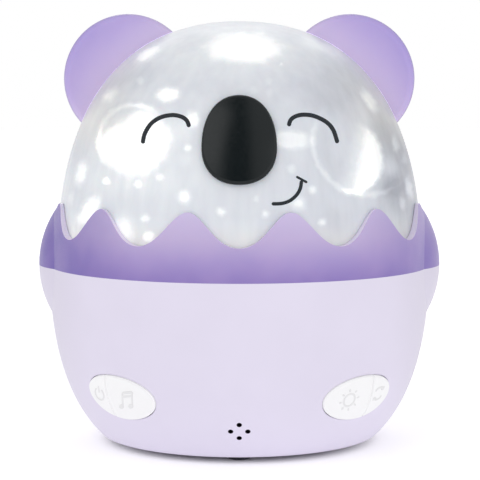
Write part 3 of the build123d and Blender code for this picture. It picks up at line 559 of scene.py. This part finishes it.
PAINTED_LIGHT_PATCHES = [
    (140, 183, 46, 11, 0, 0.9, 0.11), (180, 185, 90, 40, 0, 0.95, 0.07), (121, 230, 11, 13, 0, 0.9, 0.3),
    (334, 51, 11, 5, 32, 0.8, 0.28)]
SPARKS = [
    (81, 173, 5.5, 12, 10, 0.65, 0.38), (89, 210, 7, 14, 36, 0.65, 0.42), (71, 198, 2.4, 6, 8, 0.7, 0.2),
    (167.5, 94.5, 11, 6.5, -6, 0.65, 0.48), (148, 54, 12, 5, -32, 0.8, 0.42),
    (110, 95, 8, 4.5, -40, 0.7, 0.36), (193, 119, 6.5, 8, 0, 0.6, 0.3), (185, 160, 6, 6, 0, 0.9, 0.1),
    (369.5, 101, 4.5, 11.5, -33, 0.6, 0.45), (395.4, 144, 3, 7, -10, 0.7, 0.3),
    (409, 188, 3.2, 9, -10, 0.7, 0.4), (402.7, 203.6, 3, 5.5, -10, 0.7, 0.25),
    (404.5, 159, 2.4, 5, -10, 0.8, 0.2), (390, 168, 6, 8, 0, 0.9, 0.2), (149, 236, 5, 4.5, 0, 0.7, 0.3)]
# A star of painted light is (x, y, radius, strength).
STARS = [
    (140, 80.5, 3.4, 0.2), (187.4, 148, 3.4, 0.35), (106.5, 181.4, 3.6, 0.35), (138, 183.7, 3.4, 0.3),
    (159.6, 176.8, 3.8, 0.25), (184, 197, 6.2, 0.4), (221, 211.8, 4.2, 0.38), (145.5, 217.8, 4.2, 0.3),
    (291, 169, 3.8, 0.25), (312.4, 189.7, 3.6, 0.4), (298, 203.6, 6.5, 0.4), (322.7, 222.4, 3.6, 0.42),
    (265.7, 214.5, 3.6, 0.35), (256, 199, 3, 0.2), (281.5, 64.8, 2, 0.25), (268.8, 81.8, 3.4, 0.12),
    (253.6, 90.3, 4, 0.12), (269.4, 92.7, 3.6, 0.12)]
STAR_SOFTNESS = 0.75
STAR_LEVEL = 0.85
# A rim of the moon or the planet, a painted bright line, is (x, y, radius, half its width, strength, the way
# in which it shines). Its light starts and is full at these shares of the radius along that way.
RIMS = [(135, 141, 36.5, 2.4, 0.3, (-0.7, -0.7)), (367, 141, 54, 2.4, 0.24, (-0.62, 0.78))]
RIM_LIGHT = (-0.1, 0.6)
# The planet's disc is a patch of painted light that comes in from one way; its light starts and is full at
# these shares of the half height along that way.
DISC = (350, 158, 33, 37, -20, 0.09, 0.52)
DISC_WAY = (0.97, 0.25)
DISC_LIGHT = (-0.25, 0.5)
# Stars of painted light away from the photograph's side: azimuth from the front in degrees, height and
# radius in millimetres, softness and strength.
BACK_STARS = [
    (180, 112, 11, 0.7, 0.5), (150, 95, 3, 0.8, 0.4), (205, 92, 3.5, 0.8, 0.4), (232, 108, 4, 0.8, 0.4),
    (118, 106, 3, 0.8, 0.4), (128, 84, 4.5, 0.8, 0.4), (168, 82, 3, 0.8, 0.4), (190, 128, 2.5, 0.8, 0.4),
    (222, 80, 3, 0.8, 0.4), (248, 92, 5, 0.8, 0.4), (140, 122, 3, 0.8, 0.4), (215, 126, 6, 0.8, 0.35),
    (100, 90, 3, 0.8, 0.35), (262, 84, 3, 0.8, 0.35), (160, 104, 2, 0.8, 0.4), (198, 104, 2, 0.8, 0.4)]
# Small dots of painted light between them: how many in a metre, where one ends and is full, and its
# strength.
DOT_SCALE = 75.0
DOT_EDGE = (0.12, 0.02)
DOT_LIGHT = 0.2
# Metres from the axis from which the back is searched, and the depths where back turns to front.
BACK_SEARCH = 0.1
FRONT_DEPTH = (0.012, -0.004)
# How far patches are smeared, in pixels at the front and in metres at the back, and the scale of the noise
# that does it, for a pixel and for a metre.
SMEAR = (5.0, 5.0, 0.0)
SMEAR_SCALE = 0.14
BACK_SMEAR = (0.0018, 0.0018, 0.0018)
BACK_SMEAR_SCALE = 420.0
# Faint streaks run down the cover: the scale of their noise along each axis, for a metre, and their
# strength.
STREAK_SCALE = (265, 265, 41)
STREAK = 0.05


def photo_plane(paint):
    """Where a point of the object at rest falls in the photograph, in pixels."""
    right, up, back = camera_turn.col
    reach = paint.vector("SUBTRACT", paint.position, CAMERA_PLACE)
    depth = paint.math("MULTIPLY", paint.along(reach, back), -1 / FOCAL_PIXELS)
    across = paint.math("ADD", paint.math("DIVIDE", paint.along(reach, right), depth), PHOTO_MIDDLE)
    down = paint.math("SUBTRACT", PHOTO_MIDDLE, paint.math("DIVIDE", paint.along(reach, up), depth))
    return paint.flat(across, down)


def in_ellipse(paint, plane, x, y, wide, high, turn=0):
    """Place on the plane from an ellipse's middle, whose edge is at a distance of 1."""
    inputs = {"Vector": plane, "Location": (x, y, 0), "Rotation": (0, 0, math.radians(turn)),
              "Scale": (wide, high, 1)}
    return paint.add("ShaderNodeMapping", inputs, vector_type="TEXTURE").outputs[0]


def patch(paint, plane, x, y, wide, high, turn, soft, strength):
    """One soft patch of painted light, or of painted shade where its strength is below zero."""
    reach = paint.vector("LENGTH", in_ellipse(paint, plane, x, y, wide, high, turn))
    return paint.ease(reach, 1 + soft, 1 - soft, strength)


def lit_from(paint, place, way, light):
    """Painted light that comes in over a shape from one way."""
    return paint.ease(paint.along(place, way + (0,)), *light)


def planet_disc(paint, plane):
    """The planet in painted light, lit from the right."""
    x, y, _, high = DISC[:4]
    lit = lit_from(paint, in_ellipse(paint, plane, x, y, high, high), DISC_WAY, DISC_LIGHT)
    return paint.math("MULTIPLY", patch(paint, plane, *DISC), lit)


def rim(paint, plane, x, y, radius, half, strength, way):
    """A thin painted bright line along one side of a circle."""
    place = in_ellipse(paint, plane, x, y, radius, radius)
    off = paint.math("ABSOLUTE", paint.math("SUBTRACT", paint.vector("LENGTH", place), 1.0))
    thin = paint.ease(off, 2 * half / radius, 0.0, strength)
    return paint.math("MULTIPLY", thin, lit_from(paint, place, way, RIM_LIGHT))


def front_painted_glow(paint):
    """All patches of painted light and shade, stars and rims of the side that the photograph shows, added
    up.
    """
    plane = paint.smear(photo_plane(paint), SMEAR_SCALE, SMEAR)
    glow = [patch(paint, plane, *each) for each in CROWN_PAINTED_LIGHT + MOON + PLANET + PAINTED_SHADE_PATCHES + PAINTED_LIGHT_PATCHES + SPARKS]
    for x, y, radius, strength in STARS:
        glow.append(patch(paint, plane, x, y, radius, radius, 0, STAR_SOFTNESS, STAR_LEVEL * strength))
    glow.append(planet_disc(paint, plane))
    glow += [rim(paint, plane, *each) for each in RIMS]
    return paint.total(glow)


def back_painted_glow(paint):
    """Painted stars and dots of light on the other side, added up."""
    adrift = paint.smear(paint.position, BACK_SMEAR_SCALE, BACK_SMEAR)
    glow = []
    for azimuth, height, radius, soft, strength in BACK_STARS:
        turn = math.radians(azimuth)
        outward = Vector((math.sin(turn), -math.cos(turn), 0))
        spot = dome_tree.ray_cast(Vector((0, 0, height * MM)) + outward * BACK_SEARCH, -outward)[0]
        size = radius * MM
        glow.append(paint.ease(paint.away(spot, adrift), size * (1 + soft), size * (1 - soft), strength))
    glow.append(paint.ease(paint.scattered(DOT_SCALE), *DOT_EDGE, DOT_LIGHT))
    return paint.total(glow)


def painted_glow(paint):
    """Painted light and painted shade on the dome, and its streaks, added up."""
    is_front = paint.span(paint.axis("Y"), *FRONT_DEPTH)
    is_back = paint.math("SUBTRACT", 1.0, is_front)
    streak = paint.noise(1.0, FINE_DETAIL, paint.stretched(STREAK_SCALE))
    return paint.total([paint.math("MULTIPLY", front_painted_glow(paint), is_front),
                        paint.math("MULTIPLY", back_painted_glow(paint), is_back),
                        paint.span(streak, *CLOUD_RANGE, -STREAK, STREAK)])


# Dome: the colour of each level of painted light and shade.
DOME_TONES = [(0.0, linear(166, 169, 179)), (0.25, linear(192, 195, 203)), (0.5, linear(214, 217, 225)),
              (0.75, linear(232, 235, 240)), (1.0, linear(254, 254, 255))]
# Its levels from left to right, a painted shade darker on the right, in clouds, and at the foot, a painted
# light between the collar's teeth, with the places in metres where a change starts and ends.
DOME_SIDES = (-0.062, 0.062)
SIDE_SHADE_LEVELS = (0.71, 0.45)
DOME_CLOUD = 0.022
DOME_CLOUD_RANGE = (0.35, 0.7)
DOME_CLOUD_LEVELS = (0.03, -0.05)
FOOT_HEIGHTS = (0.080, 0.070)
FOOT_LIGHT_LEVEL = 0.22
# A warmer tint, high on the flanks and at the foot, and the metres in which it comes in.
WARM_TINT = (1.0, 0.97, 0.91, 1.0)
WARM_ASIDE = (0.028, 0.048)
WARM_ABOVE = (0.095, 0.108)
WARM_FOOT = (0.078, 0.070)
# Levels from which the dome shines by itself, a painted glow of the light inside.
SHINE_LEVELS = (0.8, 1.1)
# The thin gap between ears and dome, with painted light in it, in metres: the dome's middle, an ear's radius
# and half thickness, and how softly the light ends there.
DOME_MIDDLE = (0.0, 0.001, 0.088)
EAR_RADIUS = 0.0218
EAR_HALF = 0.0034
EAR_FADE = 0.0003
SLOT_FADE = (0.0002, -0.0001)


def ear_slots(paint):
    """1 where the ears' discs cover the dome and the dome gets painted light, otherwise 0."""
    corners = [corner.co for corner in nodes["ear_right"].data.vertices]
    ear_x = max(c.x for c in corners) - EAR_RADIUS
    ear_z = max(c.z for c in corners) - EAR_RADIUS
    disc = paint.flat(paint.math("SUBTRACT", paint.aside(), ear_x),
                      paint.math("SUBTRACT", paint.axis("Z"), ear_z))
    inside = paint.span(paint.vector("LENGTH", disc), EAR_RADIUS, EAR_RADIUS - EAR_FADE)
    deep = paint.math("ABSOLUTE", paint.math("SUBTRACT", paint.axis("Y"), DOME_MIDDLE[1]))
    return paint.math("MULTIPLY", inside, paint.span(deep, *(EAR_HALF + fade for fade in SLOT_FADE)))


def frosted_dome():
    """Milky cover with painted light and painted shade for the light behind it."""
    paint = Paint("frosted", Subsurface_Weight=0.1, Subsurface_Scale=0.004, IOR=1.45,
                  Emission_Strength=0.2)
    # Painted shade: the dome darker toward its right side.
    across = paint.span(paint.axis("X"), *DOME_SIDES, *SIDE_SHADE_LEVELS)
    cloud = paint.span(paint.noise(DOME_CLOUD, FINE_DETAIL), *DOME_CLOUD_RANGE, *DOME_CLOUD_LEVELS)
    # Painted light at the foot, which lifts the shade between the collar's teeth.
    foot = paint.span(paint.axis("Z"), *FOOT_HEIGHTS, 0.0, FOOT_LIGHT_LEVEL)
    level = paint.total([across, cloud, foot, painted_glow(paint)])
    flank = paint.math("MULTIPLY", paint.ease(paint.aside(), *WARM_ASIDE),
                       paint.span(paint.axis("Z"), *WARM_ABOVE))
    warm = paint.math("MAXIMUM", flank, paint.span(paint.axis("Z"), *WARM_FOOT))
    paint.use("Base Color", paint.blend(warm, paint.ramp(level, DOME_TONES), WARM_TINT, "MULTIPLY"))
    # Painted glow: the brightest levels and the gaps round the ears shine by themselves.
    paint.shine(paint.math("MAXIMUM", paint.span(level, *SHINE_LEVELS), ear_slots(paint)))
    paint.surface(roughness=0.36, grain=0.0005, depth=0.000006)
    return paint.material


# Collar: tones from the seam to the tips of the teeth as a painted glow, darker ones at the sides as painted
# shade, and the cut edges' tone as painted light.
COLLAR_HEIGHTS = (0.0597, 0.0815)
COLLAR_GLOW_TONES = [(0.0, linear(139, 119, 187)), (0.3, linear(165, 147, 203)), (0.6, linear(190, 174, 215)),
                (1.0, linear(204, 191, 227))]
COLLAR_LEFT = (-0.032, -0.064)
COLLAR_LEFT_SHADE = linear(104, 86, 168)
COLLAR_RIGHT = (0.036, 0.064)
COLLAR_RIGHT_SHADE = linear(124, 106, 179)
COLLAR_RIGHT_SHARE = 0.75
TOOTH_EDGE_FACING = (0.5, 0.3)
TOOTH_EDGE_HEIGHTS = (0.066, 0.069)
TOOTH_EDGE_LIGHT = linear(226, 217, 240)


def collar_purple():
    """Thin purple moulding with a painted glow toward the tips of its teeth, painted shade at its sides and
    painted light on their cut edges.
    """
    paint = Paint("purple_collar", Subsurface_Weight=0.05, Subsurface_Scale=0.003,
                  Specular_IOR_Level=0.35)
    # Painted glow: lighter from the seam up to the tips of the teeth.
    tone = paint.ramp(paint.span(paint.axis("Z"), *COLLAR_HEIGHTS), COLLAR_GLOW_TONES)
    # Painted shade at the left and right sides.
    tone = paint.blend(paint.span(paint.axis("X"), *COLLAR_LEFT), tone, COLLAR_LEFT_SHADE)
    right = paint.span(paint.axis("X"), *COLLAR_RIGHT, 0.0, COLLAR_RIGHT_SHARE)
    tone = paint.blend(right, tone, COLLAR_RIGHT_SHADE)
    tone = paint.mottled(tone, size=0.015, share=0.12, colour=linear(214, 186, 224))
    # Painted light on the teeth's cut edges.
    radial = paint.vector("NORMALIZE", paint.vector("MULTIPLY", paint.position, (1, 1, 0)))
    cut = paint.span(paint.math("ABSOLUTE", paint.facing(radial)), *TOOTH_EDGE_FACING)
    edge = paint.math("MULTIPLY", cut, paint.span(paint.axis("Z"), *TOOTH_EDGE_HEIGHTS))
    paint.use("Base Color", paint.blend(edge, tone, TOOTH_EDGE_LIGHT))
    paint.surface(roughness=0.38, grain=0.0006, depth=0.000008)
    return paint.material


# Ears: tones by the distance from the dome's middle, a painted glow pinker near the dome, the rim's painted
# shade, and the painted light where they face the dome.
EAR_REACH = (0.05, 0.075)
EAR_GLOW_TONES = [(0.0, linear(221, 205, 239)), (0.3, linear(210, 193, 234)), (0.6, linear(188, 170, 225)),
             (1.0, linear(161, 145, 214))]
EAR_RIM_FACING = (0.7, 0.3)
EAR_RIM_SHARE = 0.6
EAR_RIM_SHADE = linear(140, 128, 176)
EAR_INWARD = (-0.3, -0.6)
EAR_GAP_LIGHT_TONE = linear(222, 212, 236)
EAR_GAP_LIGHT = 0.7


def ear_purple():
    """Purple moulding with a painted glow that is pinker near the dome, painted shade round its rim and
    painted light where it faces the dome.
    """
    paint = Paint("purple_ear", Subsurface_Weight=0.05, Subsurface_Scale=0.003,
                  Emission_Strength=EAR_GAP_LIGHT)
    outward = paint.vector("NORMALIZE", paint.vector("SUBTRACT", paint.position, DOME_MIDDLE))
    # Painted light where the ear faces the dome.
    paint.shine(paint.span(paint.facing(outward), *EAR_INWARD), EAR_GAP_LIGHT_TONE)
    # Painted glow, pinker near the dome.
    tone = paint.ramp(paint.span(paint.away(DOME_MIDDLE), *EAR_REACH), EAR_GLOW_TONES)
    tone = paint.mottled(tone, size=0.012, share=0.15, colour=linear(208, 190, 228))
    # Painted shade round the rim.
    flat = paint.math("ABSOLUTE", paint.facing((0, 1, 0)))
    edge = paint.span(flat, *EAR_RIM_FACING, 0.0, EAR_RIM_SHARE)
    paint.use("Base Color", paint.blend(edge, tone, EAR_RIM_SHADE))
    paint.surface(roughness=0.4, grain=0.0006, depth=0.000008)
    return paint.material


# Film: how many small and large stars lie in a metre, and where one ends and is full.
SMALL_STARS = 150.0
SMALL_STAR_EDGE = (0.2, 0.14)
LARGE_STARS = 45.0
LARGE_STAR_EDGE = (0.24, 0.2)


def printed_film():
    """Dark printed film with clear stars."""
    paint = Paint("film", Transmission_Weight=0.25, Coat_Weight=0.5, Coat_Roughness=0.1)
    small = paint.span(paint.scattered(SMALL_STARS), *SMALL_STAR_EDGE)
    large = paint.span(paint.scattered(LARGE_STARS), *LARGE_STAR_EDGE)
    light = paint.math("MAXIMUM", small, large)
    paint.use("Base Color", paint.blend(light, linear(38, 44, 92), linear(236, 230, 196)))
    paint.surface(roughness=0.22, grain=0.0005, depth=0.000004, swing=0.04)
    return paint.material


# Cells: their ends in metres, and the colours from one end to the other.
CELL_ENDS = (-0.0251, 0.0251)
CELL_BARE = linear(180, 182, 186)
CELL_DARK = linear(40, 62, 74)
CELL_BAND = linear(196, 150, 84)
CELL_TONES = [(0.02, CELL_BARE), (0.05, CELL_DARK), (0.68, CELL_DARK), (0.7, CELL_BAND), (0.96, CELL_BAND),
              (0.98, CELL_BARE)]


def cell_wrap():
    """Cell sleeve in two colours, with bare ends."""
    paint = Paint("cell_wrap", Coat_Weight=0.4, Coat_Roughness=0.15)
    paint.use("Base Color", paint.ramp(paint.span(paint.axis("X"), *CELL_ENDS), CELL_TONES))
    paint.surface(roughness=0.3, grain=0.0006, depth=0.000004, swing=0.04)
    return paint.material


# Shell: speaker holes in metres, the shares of their radius in which the painted shade inside them fades;
# the flanks' painted shade.
LILAC_TONE = linear(226, 220, 238)
LILAC_SPREAD = 0.012
SPEAKER_HEIGHT = 0.012
HOLE_COUNT = 4
HOLE_OFFSET = 0.0027
HOLE_RADIUS = 0.00082
HOLE_FADE = (1.06, 1.01)
HOLE_DEPTH = (-0.03, -0.04)
HOLE_SHADE = linear(20, 15, 30)
FLANK_ASIDE = (0.046, 0.064)
FLANK_SHADE = 0.91


def speaker_holes(paint):
    """1 inside the speaker's holes, where their walls get painted shade, otherwise 0."""
    ahead = Vector((0, -1, SPEAKER_HEIGHT))
    middle, outward = tree_of("base_shell").ray_cast(ahead, Vector((0, 1, 0)))[:2]
    across = Vector((1, 0, 0))
    off = paint.vector("SUBTRACT", paint.position, middle)
    place = paint.flat(paint.along(off, across), paint.along(off, outward.cross(across)))
    nearest = None
    for i in range(HOLE_COUNT):
        angle = 2 * math.pi / HOLE_COUNT * i
        reach = paint.away((HOLE_OFFSET * math.cos(angle), HOLE_OFFSET * math.sin(angle), 0), place)
        nearest = paint.math("MINIMUM", nearest, reach) if nearest else reach
    inside = paint.span(nearest, *(HOLE_RADIUS * fade for fade in HOLE_FADE))
    return paint.math("MULTIPLY", inside, paint.span(paint.axis("Y"), *HOLE_DEPTH))


def shell_lilac():
    """Moulded shell with painted shade at its flanks and inside the speaker's holes."""
    paint = Paint("lilac_shell", Specular_IOR_Level=0.35)
    # Painted shade at the flanks.
    flank = paint.ease(paint.aside(), *FLANK_ASIDE)
    tone = paint.blend(flank, paint.clouded(LILAC_TONE, LILAC_SPREAD), shade(LILAC_TONE, FLANK_SHADE))
    # Painted shade inside the speaker's holes.
    paint.use("Base Color", paint.blend(speaker_holes(paint), tone, HOLE_SHADE))
    paint.surface(roughness=0.45, grain=0.0007, depth=0.000012)
    return paint.material


# Keys: their tone, its spread, and the faint painted light of their edges, which lifts the shade in the gaps
# round them.
KEY_TONE = linear(247, 247, 248)
KEY_SPREAD = 0.008
KEY_EDGE_FACING = (0.6, 0.3)
KEY_EDGE_LIGHT = 0.1


def key_cap(name, inward):
    """White key with a satin grain and faint painted light at its edges."""
    paint = Paint(name, Emission_Strength=KEY_EDGE_LIGHT)
    paint.use("Base Color", paint.clouded(KEY_TONE, KEY_SPREAD))
    # Painted light on the key's edges.
    paint.shine(paint.span(paint.math("ABSOLUTE", paint.facing(inward)), *KEY_EDGE_FACING))
    paint.surface(roughness=0.4, grain=0.0007, depth=0.000012)
    return paint.material


# Which nodes have which material.
white_plastic = moulded("white_part", linear(238, 238, 236), roughness=0.45)
lilac = moulded("lilac", LILAC_TONE, spread=LILAC_SPREAD, roughness=0.45, Specular_IOR_Level=0.35)
nose_black = moulded("nose_black", linear(18, 24, 26), spread=0.1, roughness=0.2, grain=0.0009,
                     depth=0.000003, Specular_IOR_Level=0.26)
rubber = moulded("rubber", linear(58, 58, 66), spread=0.08, roughness=0.75, grain=0.0005, depth=0.00003)
black_plastic = moulded("black_part", linear(34, 34, 38), spread=0.06, roughness=0.5)
paper = moulded("paper", linear(46, 44, 44), spread=0.1, roughness=0.9, grain=0.0004, depth=0.00004)
clear = moulded("clear", linear(238, 242, 246), spread=0.01, roughness=0.12, depth=0.000002,
                Transmission_Weight=0.6, IOR=1.5)
steel = metal("steel", linear(206, 208, 212))
board = circuit("board", linear(36, 104, 70), linear(70, 138, 92))
white_board = circuit("white_board", linear(236, 238, 236), linear(206, 210, 206))
WEARERS = [
    (shell_lilac(), ["base_shell"]),
    (lilac, ["base_plate", "battery_door"]),
    (frosted_dome(), ["dome"]),
    (collar_purple(), ["collar"]),
    (ear_purple(), ["ear_left", "ear_right"]),
    (nose_black, ["nose"]),
    (key_cap("key_white_left", press_axes["power"]), ["power_key", "music_key"]),
    (key_cap("key_white_right", press_axes["light"]), ["light_key", "rotate_key"]),
    (white_plastic, ["wire_sockets", "deck", "led_post", "head_ring", "turntable", "pinion"]),
    (white_plastic, [name + "_plunger" for name in ICONS]),
    (black_plastic, ["control_chip", "capacitor", "tact_switches"]),
    (steel, ["plate_screws", "door_screws", "board_screws", "deck_screws", "motor_screws", "ring_screws"]),
    (steel, ["battery_contacts", "speaker_frame", "gear_motor", "motor_shaft"]),
    (board, ["main_board", "key_board_left", "key_board_right"]),
    (white_board, ["led_board"]),
    (clear, ["leds"]),
    (printed_film(), ["film_dome"]),
    (cell_wrap(), ["battery_cells"]),
    (paper, ["speaker_cone"]),
    (rubber, ["rubber_feet"]),
]
LOOKS = {name: material for material, names in WEARERS for name in names}
for name, node in nodes.items():
    for part in node.material_slots:
        part.material = LOOKS[name]


# Floor, light and white surroundings: lengths in metres, the lamps' power in watts.
WORLD_LIGHT = 0.7
FLOOR_SIZE = 4.0
FLOOR_CLOUD = 0.05
FLOOR_FILL = 0.365
# Share of the floor's own light beside the object, where the lamps reach it, and where that ends.
FLOOR_NEAR = 0.78
FLOOR_REACH = (0.15, 0.9)
# Painted shadow: the floor has no light of its own under the base within the first radius, and all of it
# past the second.
SHADOW_RADII = (0.038, 0.049)
CARD_CLOUD = 0.2
LAMP_AIM = Vector((0.0, 0.0, 0.07))


def stand(name, corners):
    """A flat sheet of the studio, outside the object's size."""
    sheet = new_object(name, corners, [tuple(range(len(corners)))])
    return sheet


def ground():
    """Pale floor that keeps the shadow, with a painted shadow under the base, and meets the white
    surroundings without a horizon.
    """
    size = FLOOR_SIZE
    floor = stand("floor", [(-size, -size, 0), (size, -size, 0), (size, size, 0), (-size, size, 0)])
    paint = Paint("floor", Roughness=0.9, Emission_Strength=FLOOR_FILL)
    tone = paint.two_tone(paint.noise(FLOOR_CLOUD), linear(243, 243, 243), linear(246, 246, 246))
    paint.use("Base Color", tone)
    reach = paint.away((0, 0, 0))
    far = paint.span(reach, *FLOOR_REACH, FLOOR_NEAR, 1.0)
    # Painted shadow: the floor has no light of its own under the base.
    paint.shine(paint.math("MULTIPLY", far, paint.ease(reach, *SHADOW_RADII)))
    floor.data.materials.append(paint.material)


def dark_card(left, right, low, high, distance):
    """Dark sheet behind the camera that only reflections show."""
    card = stand("dark_card", [(left, -distance, low), (right, -distance, low), (right, -distance, high),
                               (left, -distance, high)])
    paint = Paint("dark_card", Roughness=1.0)
    paint.use("Base Color", paint.two_tone(paint.noise(CARD_CLOUD), linear(8, 8, 8), linear(12, 12, 12)))
    card.data.materials.append(paint.material)
    card.visible_camera = False
    card.visible_diffuse = False
    card.visible_transmission = False
    card.visible_shadow = False


def softbox(name, place, width, height, power):
    """Soft rectangular lamp, turned to the object."""
    data = bpy.data.lights.new(name, "AREA")
    data.shape = "RECTANGLE"
    data.size = width
    data.size_y = height
    data.energy = power
    lamp = bpy.data.objects.new(name, data)
    lamp.location = place
    lamp.rotation_euler = (LAMP_AIM - Vector(place)).to_track_quat("-Z", "Y").to_euler()
    scene.collection.objects.link(lamp)


def seen_rays(tree):
    """1 for rays from the camera and for what mirrors or glass show, otherwise 0."""
    path = tree.nodes.new("ShaderNodeLightPath")
    seen = path.outputs["Is Camera Ray"]
    for other in ("Is Glossy Ray", "Is Transmission Ray"):
        either = tree.nodes.new("ShaderNodeMath")
        either.operation = "MAXIMUM"
        tree.links.new(seen, either.inputs[0])
        tree.links.new(path.outputs[other], either.inputs[1])
        seen = either.outputs[0]
    return seen


def surroundings():
    """White room: plain light on the object, and white where the camera or a reflection sees it."""
    world = bpy.data.worlds.new("studio")
    scene.world = world
    world.use_nodes = True
    tree = world.node_tree
    back = tree.nodes["Background"]
    level = tree.nodes.new("ShaderNodeMapRange")
    tree.links.new(seen_rays(tree), level.inputs["Value"])
    level.inputs["To Min"].default_value = WORLD_LIGHT
    level.inputs["To Max"].default_value = 1.0
    tree.links.new(level.outputs["Result"], back.inputs["Strength"])
    back.inputs["Color"].default_value = WHITE


ground()
surroundings()
dark_card(left=-0.22, right=0.17, low=0.25, high=2.4, distance=1.2)
softbox("key_light", place=(-0.55, -0.75, 0.85), width=0.9, height=0.7, power=1.9)
softbox("fill_light", place=(0.7, -0.7, 0.35), width=0.8, height=0.8, power=1.0)
softbox("back_light", place=(0.0, 0.9, 0.8), width=0.9, height=0.5, power=1.5)

scene.view_settings.view_transform = "Standard"
